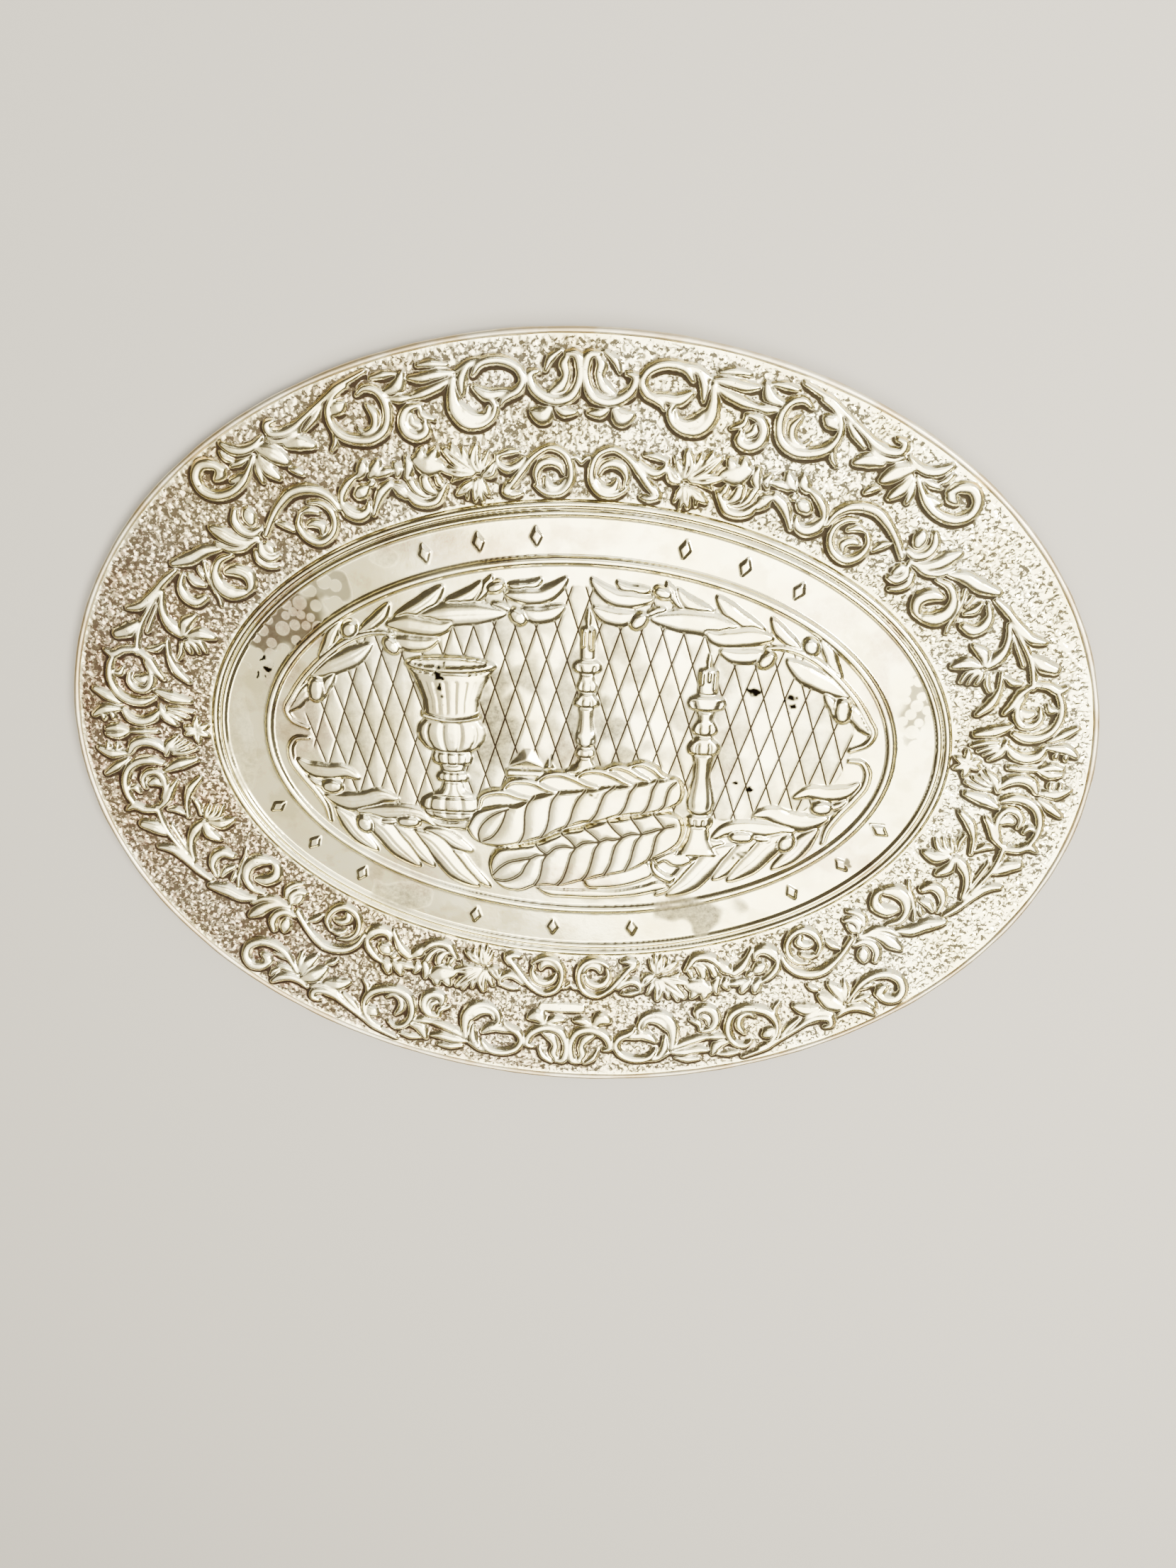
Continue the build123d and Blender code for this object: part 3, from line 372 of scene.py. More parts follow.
ROUND_LEAF = [
    (plain, 1.8, (1.4, 3.2, 1.6), [(-54, 96.8), (-50, 95.4), (-46.2, 95.2)]),
    (leaf, 1.6, (1.4, 1.8, 1.0), [(-53, 96.6), (-52.4, 98.6), (-52.2, 100)]),
    (leaf, 1.6, (1.4, 1.8, 1.0), [(-49.4, 96.6), (-48.4, 98.6), (-47.6, 100)]),
    (leaf, 1.5, (0.8, 1.7, 0.9), [(-57, 97.6), (-56.4, 94.6), (-57.4, 91.2)]),
    (leaf, 1.4, (0.8, 1.5, 0.7), [(-61, 95.4), (-59.8, 93.6), (-60.4, 91.6)]),
    (leaf, 1.6, (1.2, 2.2, 1.0), [(-61.6, 88.6), (-59.4, 87.2), (-57.6, 85)]),
    (leaf, 1.7, (1.0, 1.6, 1.5, 1.5, 1.2, 0.5),
     [(-57.4, 86.2), (-54.4, 83.6), (-51, 83), (-48, 84), (-46, 87), (-44.4, 89.6)]),
    (leaf, 1.5, (1.4, 1.3, 0.8, 0.3), [(-56, 90), (-54.6, 87.6), (-52, 85.7), (-48.6, 85.6)]),
    (leaf, 1.6, (1.5, 1.9, 1.0, 0.5), [(-51.6, 91), (-51, 88.8), (-48.4, 86.9), (-46.4, 87.6)]),
    (leaf, 1.5, (1.0, 1.3, 0.5), [(-47.4, 91.6), (-46.8, 90.2), (-45.6, 88.8)]),
]
INNER_ROW += PALMETTE + ROUND_LEAF
print("forms in the inner row:", len(INNER_ROW))

# %% Sprays at the two ends
SIDE_SPRAY = [
    (reed, 1.4, (0.8, 1.2, 1.1, 0.9), [(-137, 60.6), (-140.6, 57.6), (-145, 53.2), (-149.6, 49.4)]),
    (leaf, 1.5, (0.7, 1.2, 1.6, 0.8), [(-143, 54), (-147.4, 50), (-151, 48), (-154.8, 47.4)]),
    (plain, 1.2, (0.8, 0.8, 0.8, 0.9),
     [(-143.5, 53), (-147.8, 47), (-151.2, 41.5), (-153.2, 36), (-154, 31.5)]),
    (leaf, 1.6, (0.6, 2.3, 1.7), [(-151.8, 42.4), (-155.6, 39.6), (-159.4, 38.4)]),
    (leaf, 1.5, (0.6, 1.1, 1.3, 1.9, 0.9),
     [(-142.4, 53), (-143.4, 48), (-142.6, 43.4), (-140.6, 40.2), (-138.2, 37.6)]),
    (plain, 1.0, (0.5, 0.6, 0.6), [(-144.6, 49), (-147.4, 43.4), (-149.6, 39)]),
    (reed, 1.5, (1.1, 1.3, 1.4, 0.5), [(-154.8, 32.8), (-158.6, 32.6), (-162, 31.2), (-164.8, 32.8)]),
    (reed, 1.7, (0.9, 1.1, 1.2, 1.3, 1.5, 1.6, 0.8),
     [(-161.6, 31), (-163.6, 27), (-164.2, 22), (-162.4, 17), (-158.6, 14.2), (-154.2, 13.7),
      (-150.4, 15)]),
    (leaf, 1.3, (0.7, 1.2, 0.6), [(-163, 24.6), (-160.8, 24.2), (-159.6, 26)]),
    (reed, 1.6, (0.6, 1.1, 1.3, 1.3, 1.2, 1.0, 0.6),
     [(-157.4, 24.4), (-157.9, 21), (-156, 18.5), (-152.8, 18.2), (-150.7, 20.8), (-150.4, 24.8),
      (-151.8, 28.4)]),
    (plain, 1.5, (1.2, 1.7, 1.2), [(-155.2, 22.4), (-153.6, 21.8), (-152, 22.8)]),
    (reed, 1.5, (0.9, 1.3, 1.3, 0.7), [(-153.2, 32), (-150.4, 29), (-148.4, 24.8), (-146.4, 22)]),
    (leaf, 1.3, (0.5, 1.2, 0.6), [(-150.4, 32.8), (-147.6, 32.8), (-144.6, 34.6)]),
    (leaf, 1.5, (0.6, 0.8, 1.6, 0.9), [(-143.4, 36), (-143.4, 30), (-141.8, 25.2), (-138, 20.8)]),
    (leaf, 1.5, (0.9, 1.6, 0.5), [(-170.2, 18.6), (-167, 16.4), (-162, 13)]),
    (leaf, 1.5, (0.9, 1.9, 0.8), [(-171.6, 8.8), (-168.4, 10.6), (-162.4, 11)]),
    (leaf, 1.3, (0.6, 0.9, 0.4), [(-168.6, 9.4), (-168.4, 8), (-168.6, 6.8)]),
    (leaf, 1.3, (0.6, 0.9, 0.4), [(-165.6, 9.6), (-165.2, 8.2), (-165.4, 7)]),
    (reed, 1.6, (0.8, 1.6, 1.7, 1.6, 0.8),
     [(-161.4, 11), (-159.6, 7.8), (-155.6, 6.4), (-151.6, 7.7), (-149.4, 10)]),
    (leaf, 1.4, (0.8, 1.6, 0.6), [(-168.2, 3.6), (-165, 4), (-160.8, 3)]),
    (leaf, 1.6, (0.9, 2.0, 1.0), [(-149.6, 17.6), (-145.6, 15.6), (-138.6, 13.6)]),
    (leaf, 1.4, (0.6, 1.0, 0.6), [(-146.4, 11.4), (-142, 10.8), (-138, 9.4)]),
    (leaf, 1.4, (0.6, 0.9, 0.6), [(-146.4, 10.2), (-143, 9), (-140.4, 7.6)]),
    (leaf, 1.4, (0.6, 0.8, 0.5), [(-146.6, 9.2), (-144.4, 7.8), (-142.4, 6.4)]),
    (leaf, 1.5, (0.6, 1.6, 0.6), [(-149, 12), (-147.4, 8), (-144.2, 4.8)]),
    (plain, 1.3, (0.7, 1.1, 0.6), [(-160, 2.6), (-156, 2.6), (-151, 2.8)]),
    (leaf, 1.6, (0.9, 2.0, 0.8), [(-137.6, 38), (-136.4, 42), (-132.8, 44.8)]),
    (leaf, 1.6, (0.8, 2.2, 0.8), [(-136.2, 37.6), (-131.6, 38.4), (-127.4, 37)]),
    (leaf, 1.4, (0.6, 1.0, 0.6), [(-136, 36.4), (-132.6, 35.4), (-130.8, 31.8)]),
    (leaf, 1.4, (0.6, 0.9, 0.5), [(-136.6, 36), (-134.4, 34.4), (-133.2, 31.4)]),
    (leaf, 1.4, (0.7, 1.1, 0.6), [(-137.2, 35.8), (-136.6, 33.6), (-135.8, 31.6)]),
    (plain, 1.2, (0.5, 0.8, 0.7), [(-138.8, 35), (-139.2, 31.6), (-140.4, 29.4)]),
]
FLOWER_TIPS = [(-136.4, 5), (-132.8, 2), (-132.8, -2), (-136.4, -5), (-141, 1.4), (-141, -1.4)]
END_FLOWER = fan((-137, 0), FLOWER_TIPS, 1.5, 1.5)
print("forms in a side spray:", len(SIDE_SPRAY))

# %% [markdown]
# The drawn quarter is pressed once. Flipping the map left to right and top to bottom, and keeping the
# higher value each time, fills the other three quarters. The shifts centre each row of the drawing on
# the tray.

# %% Press the border
border_map = np.zeros_like(grid_x)
SPREAD = 1.25     # the foot of a form is wider than its drawn top
for drawing, shift in ((OUTER_ROW, (0.6, -1.2)), (INNER_ROW, (0.6, -0.8)), (SIDE_SPRAY, (0.6, -2.6))):
    press_all(border_map, drawing, shift, SPREAD)
press_all(border_map, END_FLOWER)
border_map = np.maximum(border_map, border_map[::-1, :])
border_map = np.maximum(border_map, border_map[:, ::-1])
TABLET = [(-10.4, -107), (-3, -107), (4.4, -107)]
press(border_map, TABLET, (2.1, 2.4, 2.1), 0.55, lambda r, side: np.clip((1 - r) / 0.25, 0, 1))
print("highest scroll", round(border_map.max(), 2), "mm")

# %% [markdown]
# ## Beads, band and medallion
# The flat inner part of the tray has its own map. The beads follow ellipses, so their height comes from
# the distance to an ellipse. The smooth band between them carries small chased lozenges, in five groups
# of three. Each lozenge has bevelled sides and a fine line cut round it.

# %% Beads and lozenges
def from_ellipse(axes, x, y):
    # Distance to an ellipse, negative inside
    share = np.sqrt((x / axes[0]) ** 2 + (y / axes[1]) ** 2) + 1e-9
    return (share - 1) * share / np.sqrt((x / axes[0] ** 2) ** 2 + (y / axes[1] ** 2) ** 2 + 1e-12)


def inset(axes, by):
    return axes[0] - by, axes[1] - by


def bead_on(field, axes, row):
    middle, width, height = row
    away = from_ellipse(inset(axes, middle), grid_x, grid_y) / (width / 2)
    return np.maximum(field, height * np.sqrt(np.clip(1 - away**2, 0, 1)))


inner_map = np.zeros_like(grid_x)
for row in BEADS:
    inner_map = bead_on(inner_map, WELL, row)
inner_map = bead_on(inner_map, MEDALLION, MEDALLION_BEAD)

BAND_MIDDLE = ((MEDALLION[0] + WELL[0] - TWIN_BEADS) / 2, (MEDALLION[1] + WELL[1] - TWIN_BEADS) / 2)
LOZENGE = (7.9, 4.6, 0.75)     # length, width, height
LOZENGE_BEVEL = 0.35           # share of the half width
LOZENGE_LINE = 0.3             # depth of the line round it
GROUPS = [(97, 116), (52, 73), (203, 228), (252, 281), (313, 338)]     # first and last angle
for first, last in GROUPS:
    for angle in np.radians(np.linspace(first, last, 3)):
        x = BAND_MIDDLE[0] * math.cos(angle)
        y = BAND_MIDDLE[1] * math.sin(angle)
        turn = math.atan2(BAND_MIDDLE[0] * math.sin(angle), BAND_MIDDLE[1] * math.cos(angle))
        along = (grid_x - x) * math.cos(turn) + (grid_y - y) * math.sin(turn)
        across = (grid_y - y) * math.cos(turn) - (grid_x - x) * math.sin(turn)
        share = np.abs(along) / (LOZENGE[0] / 2) + np.abs(across) / (LOZENGE[1] / 2)
        inner_map = np.maximum(inner_map, LOZENGE[2] * np.clip((1 - share) / LOZENGE_BEVEL, 0, 1))
        inner_map -= LOZENGE_LINE * np.exp(-(((share - 1.12) / 0.1) ** 2))
print("band between the beads is", round(BAND_MIDDLE[0] - MEDALLION[0], 2), "mm to its middle")

# %% [markdown]
# The goblet and the two candlesticks are turned shapes, shown flattened. Each is a list of heights along
# its axis and half widths there. The relief is round across the axis, and creases at even angles make the
# flutes and the gadroons, as they would run round a real turned body.

# %% Profiles of the goblet and the candlesticks
GOBLET = [
    (-30.9, 3), (-30.2, 7.6), (-28.6, 10.8), (-25.4, 12.3), (-22.6, 11.6), (-21, 9.4), (-20, 6.4),
    (-18.4, 4.5), (-16, 3.7), (-15.6, 3.7), (-15.4, 5.4), (-13.8, 6.1), (-12.2, 5.4), (-11.9, 4.3),
    (-9.4, 4.4), (-9.1, 5.4), (-8.4, 6.9), (-6, 7.7), (-4.4, 7), (-4, 7.2), (-2.4, 9.9), (0.4, 12),
    (3, 12.6), (5.6, 12), (7.4, 10.4), (8.4, 9.6), (10, 9.4), (15, 9.9), (20, 11.8), (24, 13.6),
    (26, 15.2), (28, 16),
]
REAR_CANDLE = [
    (-10, 9), (-8.6, 6), (-7, 3.6), (-5, 2.4), (-4.2, 2.2), (-4, 3.2), (-2.6, 3.7), (-1.2, 3),
    (-0.4, 2), (0.4, 2), (0.6, 3), (2, 3.6), (4.4, 3.7), (7, 3), (11, 2.5), (14.6, 2.9), (15, 3.6),
    (15.4, 4.8), (16.8, 4.6), (18.6, 2.9), (20, 2), (20.3, 2.6), (20.6, 3.5), (22, 3.7), (24, 2.8),
    (26.2, 2.4), (27, 3), (27.4, 4.4), (28.6, 5.2), (30.2, 5), (31.4, 3.6), (31.8, 2.5), (42.4, 2.4),
    (43, 1.6), (43.2, 0.6), (46, 1), (49, 0.3),
]
FRONT_CANDLE = [
    (-40, 8), (-37.6, 6), (-34, 4.2), (-30, 3.5), (-29.2, 3.6), (-28.8, 4.4), (-27, 4.9), (-25, 4.5),
    (-24.4, 3.2), (-23.8, 3.2), (-22.6, 4.3), (-19.4, 4.9), (-15.6, 4.3), (-10, 3), (-5, 3),
    (-1.6, 3.8), (-1, 4.6), (-0.6, 5.6), (1.4, 6.1), (3.2, 5.2), (4.6, 3.4), (5.6, 2.7), (6.2, 2.8),
    (6.6, 3.8), (7.8, 4.6), (9.4, 4.1), (12, 2.6), (14.6, 3.2), (15.2, 4), (15.8, 5.8), (17.6, 6.8),
    (19.4, 6.2), (20.6, 4.4), (21, 3.5), (29.6, 3.4), (30.2, 2.6), (30.4, 0.6), (32.6, 1), (35.4, 0.3),
]
print("points of the three profiles:", len(GOBLET) + len(REAR_CANDLE) + len(FRONT_CANDLE))


# %% Turned bodies in relief
def turned(profile, x, height, creases, grooves):
    # Flattened half of a turned body. A crease is from where, to where, how many and how deep.
    # The grooves run round the body at the levels given.
    along, half = np.array(profile, float).T
    width = np.interp(grid_y, along, half, left=0, right=0)
    share = np.clip((grid_x - x) / np.maximum(width, 0.01), -1, 1)
    body = height * (0.4 + 0.6 * width / half.max()) * np.sqrt(1 - np.abs(share) ** 2.8)
    angle = np.arcsin(share)
    for low, high, count, depth in creases:
        zone = fade(low - 0.4, low + 0.4, grid_y) * fade(high + 0.4, high - 0.4, grid_y)
        body *= 1 - depth * zone * np.exp(-((np.cos(count * angle) / 0.4) ** 2))
    for level in grooves:
        body *= 1 - 0.35 * np.exp(-(((grid_y - level + 0.6 * (1 - share**2)) / 0.45) ** 2))
    return np.where(width > 0, body, 0)


def oval(x, y, half_x, half_y):
    # 0 in the middle of an oval, 1 on its edge
    return np.sqrt(((grid_x - x) / half_x) ** 2 + ((grid_y - y) / half_y) ** 2)


# %% Goblet and candlesticks
GOBLET_X = -44.2
GOBLET_RELIEF = 2.2
GOBLET_FLUTES = [
    (-29, -16, 6, 0.2), (-15.4, -12.2, 7, 0.25), (-9, -4.4, 6, 0.3), (-3.8, 6.8, 6, 0.22),
    (10.4, 22, 10, 0.14),
]
goblet = turned(GOBLET, GOBLET_X, GOBLET_RELIEF, GOBLET_FLUTES, [-26.8, -21, -15.2, -11.4, -8.6, -3.8])
lip = oval(GOBLET_X, 27.9, 16.2, 3.3)
goblet = np.where(lip < 1, GOBLET_RELIEF * np.sqrt(np.clip(1 - lip**6, 0, 1)), goblet)
goblet = np.where(oval(GOBLET_X - 0.4, 28.7, 13, 1.5) < 1, 1.1, goblet)
collar = grid_y - 7.9 - 0.018 * (grid_x - GOBLET_X) ** 2
goblet = np.where((np.abs(collar) < 1) & (np.abs(grid_x - GOBLET_X) < 10.6),
                  np.maximum(goblet, 2.4 * np.sqrt(np.clip(1 - collar**2, 0, 1))), goblet)
REAR_FLUTES = [
    (-3.8, -1.6, 3, 0.3), (0.8, 3, 2, 0.4), (5, 14, 2, 0.3), (15, 18, 4, 0.4), (20.4, 24, 3, 0.4),
    (27.2, 29.6, 3, 0.4),
]
rear_candle = turned(REAR_CANDLE, 3.5, 1.9, REAR_FLUTES, [-3.8, -0.2, 14.8, 20.2, 27, 32])
FRONT_FLUTES = [
    (-29, -26, 5, 0.35), (-22, -2, 2, 0.3), (-0.8, 3.4, 4, 0.35), (6.4, 10, 3, 0.4), (11, 15, 2, 0.3),
    (15.8, 18.6, 2, 0.4),
]
front_candle = turned(FRONT_CANDLE, 45.3, 2.1, FRONT_FLUTES, [-28.6, -24, -0.8, 6.2, 15.2, 21.2])
# Drips of wax: x, from, to
DRIPS = [(2, 36.6, 41.4), (4.6, 35.6, 41.4), (43.2, 25, 28.6), (45.6, 26, 28.6), (47.6, 23, 28.4)]
for x, low, high in DRIPS:
    press(rear_candle if x < 20 else front_candle, [(x, low), (x, high)], (0.7, 0.6), 2.2, plain)
print("goblet", round(goblet.max(), 2), "mm high")

# %% [markdown]
# A plaited loaf is a closed outline, parted by the creases between its strands. Its height only depends on
# how far a point lies from the nearest of these lines: it is low on a line and rises in a round curve beside
# it, so that each strand swells like a cushion. The nearer loaf covers the rear one, and both cover what is
# behind.

# %% Drawing of the loaves and the plate
REAR_LOAF = [
    (-39.8, -33), (-37, -37.5), (-33, -39.6), (-25, -40.2), (-19, -38.4), (-12, -36), (-4, -32),
    (4, -29), (10, -28.4), (16, -26), (24, -24.8), (33, -22.6), (38.2, -19.4), (39, -14.5),
    (36.8, -10.4), (29, -11.4), (20, -13.6), (10, -15), (3, -16.5), (-5, -17.4), (-14, -19.6),
    (-20, -23), (-29, -24.2), (-36, -26.8),
]
REAR_CREASES = [
    [(-23.8, -25), (-27.6, -26.6), (-31.4, -29.2), (-34, -32.4), (-35, -35.4), (-34.4, -38.6)],
    [(-24.6, -25.4), (-26, -30), (-28, -34), (-30.4, -36.8), (-33.4, -38.2)],
    [(-14.5, -19.6), (-17, -23), (-17.9, -27), (-18, -31), (-18.4, -35), (-20.2, -38.8)],
    [(-5.6, -17.4), (-8, -21), (-8.9, -25), (-9.3, -29), (-10.4, -33), (-12.4, -36.4)],
    [(4, -16.4), (1.3, -20), (-0.4, -24), (-1.4, -28), (-3.2, -31.4), (-5.4, -33.4)],
    [(14.4, -14.4), (11, -17.4), (9.4, -21.4), (8, -25.4), (5.6, -29)],
    [(22.2, -13.2), (20, -16.4), (19, -20), (18, -23), (15.6, -26.4)],
    [(29.6, -11.6), (28, -15), (27.2, -19), (26, -22.6), (24.2, -25)],
    [(36.4, -11.6), (34, -14.4), (33, -18), (32.4, -21), (30.6, -23.2)],
]
BACK_STRANDS = [
    [(-35, -25.6), (-33.8, -20.8), (-29.6, -18.8), (-25, -18.6), (-20, -20.2), (-16, -20.8)],
    [(-26, -17.8), (-23.6, -14.8), (-19, -13.8), (-14.6, -14.4), (-10, -16.6), (-6, -17.8)],
    [(-13.6, -13.8), (-10, -11.2), (-5, -10.6), (0, -12.2), (4, -14.2), (8, -15.2)],
    [(0.4, -11.6), (3.4, -9.4), (9, -8.8), (14, -10.4), (18, -12.6), (21, -13.8)],
    [(10.6, -8.4), (14.6, -6.8), (19, -7.6), (23, -10), (26.6, -11.6)],
    [(19.6, -6.4), (24, -5.4), (28, -7), (31.6, -10), (35, -10.8)],
]
BACK_ROW = [
    (-35, -27), (-33.8, -20.8), (-29, -18.8), (-23.6, -14.8), (-16, -13.8), (-10, -11.2), (-3, -10.6),
    (3.4, -9.4), (9, -8.8), (14.6, -6.8), (24, -5.4), (31, -8.6), (36, -11), (20, -15), (0, -18),
    (-18, -22.6),
]
FRONT_LOAF = [
    (-31.2, -48), (-30.4, -44.6), (-28, -41.4), (-21, -39.7), (-14, -38.4), (-8, -35.4), (-3, -33),
    (3, -31.4), (8, -29), (14, -27.4), (21, -26), (28, -24.2), (34, -23.6), (38.4, -25.4), (40, -30),
    (38.6, -35.6), (34.6, -39.4), (29, -42.4), (24, -46), (18, -48.6), (11, -50.2), (3, -52.8),
    (-6, -55.4), (-13, -55.4), (-20, -58.2), (-26, -57.2), (-30, -53),
]
FRONT_CREASES = [
    [(-15.4, -44.2), (-20, -45.3), (-24, -46.5), (-27, -48.7), (-29.8, -51.8)],
    [(-15.8, -44.6), (-17.6, -47.6), (-19, -50.6), (-22, -53), (-26, -54.2), (-29.4, -53.6)],
    [(-9.6, -42.4), (-11, -45), (-11.6, -48.5), (-12.5, -52.5), (-14.2, -55.6)],
    [(1, -39), (-0.7, -42), (-1.6, -45.5), (-2.5, -49), (-4, -52.8), (-6, -55.4)],
    [(9.8, -36.2), (8, -39.5), (7.2, -43), (6.4, -46.5), (5, -50.4), (3.4, -52.6)],
    [(18, -34), (15.8, -37), (14.6, -41), (13.8, -45), (11.6, -50)],
    [(25, -32.4), (23, -35.5), (22, -39), (21.2, -43), (19.2, -48)],
    [(33, -29.6), (30.6, -32.5), (29.6, -36.5), (29, -40), (27, -44.4)],
    [(-15.4, -44.2), (-13.4, -43), (-9.6, -42.4), (-6.6, -39.8), (-3.4, -38.9), (1, -39), (3.6, -37.2),
     (6.4, -36.7), (9.8, -36.2), (12, -35.2), (14.6, -35.3), (18, -34), (20.4, -32.9), (25, -32.4),
     (28, -31.5), (33, -29.6), (36.4, -28.7)],
    [(-13.8, -38.6), (-12, -40.8), (-9.6, -42.4)],
    [(-4.4, -33.8), (-1.8, -35.8), (1, -39)],
    [(3.8, -31.2), (6.4, -33.2), (9.8, -36.2)],
    [(12.2, -28), (15, -31.4), (18, -34)],
    [(20.6, -26.2), (23, -29.4), (25, -32.4)],
    [(28.8, -24.4), (31.4, -27.6), (33, -29.6)],
]
PLATE = [
    (0.8,
     [(-14, -56.4), (-4, -57), (6, -56.6), (16, -56.4), (26, -54), (33, -52), (35.6, -53.6), (28, -57),
      (14, -59.6), (0, -60.2), (-10, -59.4)]),
    (1.2,
     [(4, -52.4), (9, -50.8), (14, -49.4), (20, -46.8), (27, -44), (29.4, -49.4), (25, -52.2),
      (19, -54.4), (12, -55.6), (5, -55.2)]),
    (1.7,
     [(29.2, -42.6), (31.2, -46), (34.6, -48.4), (38.2, -49.2), (36.8, -52), (32.8, -51), (29.8, -48.8),
      (28.6, -45.6)]),
    (1.9,
     [(29.4, -42.4), (33.4, -39.6), (37, -38.4), (41.6, -39.6), (44, -42.4), (41, -44.8), (36.4, -45),
      (33.4, -43.4), (31.2, -44.8)]),
    (0.9,
     [(-55.4, -27.6), (-52, -30.6), (-44, -31.6), (-37.6, -30), (-37.6, -33.6), (-44, -34.4),
      (-50.4, -33.6)]),
]
print("creases on the loaves:", len(REAR_CREASES) + len(FRONT_CREASES))


# %% Helpers for closed outlines
def inside(points):
    # True within a closed outline
    x0, y0 = smooth_line(points + points[:1])[0].T
    x1 = np.roll(x0, -1)
    y1 = np.roll(y0, -1)
    result = np.zeros(grid_x.shape, bool)
    for row in range(*np.searchsorted(map_y, (y0.min(), y0.max()))):
        crossed = (y0 > map_y[row]) != (y1 > map_y[row])
        at = x0[crossed] + ((map_y[row] - y0) * (x1 - x0))[crossed] / (y1 - y0)[crossed]
        result[row] = (map_x[:, None] > at).sum(axis=1) % 2 == 1
    return result


def shoulder(r, side):
    return 1 - np.sqrt(1 - (1 - r) ** 2.8)


def crease(r, side):
    return 0.6 * (1 - r) ** 2 + 0.4 * np.exp(-((r / 0.1) ** 2))


CREASE_DEPTH = 0.27     # share of the height that is missing on a crease
EDGE_DEPTH = 0.9        # and on the outline


def cushion(outline, creases, height, swell=4):
    # A body with round shoulders that swells between its creases
    lack = pressed([(crease, CREASE_DEPTH, (swell, swell), line) for line in creases])
    edge = pressed([(shoulder, EDGE_DEPTH, (2, 2), outline + outline[:1])])
    return np.where(inside(outline), height * (1 - np.maximum(lack, edge)), 0)


def scratch(r, side):
    return np.exp(-((r / 0.45) ** 2))


def facet(points, top, bevel):
    # Flat-topped shape with bevelled sides; the points run counter-clockwise
    depth = np.full_like(grid_x, 99.0)
    for (x0, y0), (x1, y1) in zip(points, points[1:] + points[:1]):
        length = math.hypot(x1 - x0, y1 - y0)
        depth = np.minimum(depth, ((x1 - x0) * (grid_y - y0) - (y1 - y0) * (grid_x - x0)) / length)
    return top * np.clip(depth / bevel, 0, 1)


NO_FORM = 0.02     # a height under this counts as no form


def cover(below, above):
    # The nearer form hides what lies behind it
    return np.where(above > NO_FORM, above, below)


def pressed(rows):
    field = np.zeros_like(grid_x)
    press_all(field, rows)
    return field


# %% Loaves, salt cellar and plate
back_strands = pressed([(plain, 2.0, (0.7, 1.2, 1.4, 1.2, 0.7), line) for line in BACK_STRANDS])
back_strands = np.maximum(back_strands, 0.7 * inside(BACK_ROW))
rear_loaf = cover(back_strands, cushion(REAR_LOAF, REAR_CREASES, 2.2, 4.2))
front_loaf = cushion(FRONT_LOAF, FRONT_CREASES, 2.4, 3.8)
# Darker along every crease of the loaves
crease_darkening = pressed([(scratch, 1, (1, 1), line) for line in REAR_CREASES]) * (front_loaf < NO_FORM)
crease_darkening = np.maximum(crease_darkening, pressed([(scratch, 1, (1, 1), line) for line in FRONT_CREASES]))
plate = np.zeros_like(grid_x)
for height, outline in PLATE:
    plate = cover(plate, cushion(outline, [], height))
# Each face of the salt cellar is its height, the width of its bevel and its outline
SALT = [
    (1.3, 0.5, [(-25, -12.6), (-8, -12.6), (-8, -9.6), (-25, -9.6)]),
    (1.6, 3.4, [(-25, -9.4), (-10, -9.4), (-15.6, -1.6), (-18.8, -1.6)]),
    (1.7, 1.6, [(-12, -9.6), (-6.4, -9.6), (-9.4, -4.4)]),
]
salt = np.zeros_like(grid_x)
for top, bevel, points in SALT:
    salt = cover(salt, facet(points, top, bevel))
print("front loaf", round(front_loaf.max(), 2), "mm high")

# %% [markdown]
# The olive wreath is drawn on the left and mirrored. Its leaves overlap: one that lies over another hides
# most of it. Behind everything lies a lattice of two sets of straight engraved lines, 7.2 mm apart along the
# tray, that only shows inside the wreath. Its cells swell a little.

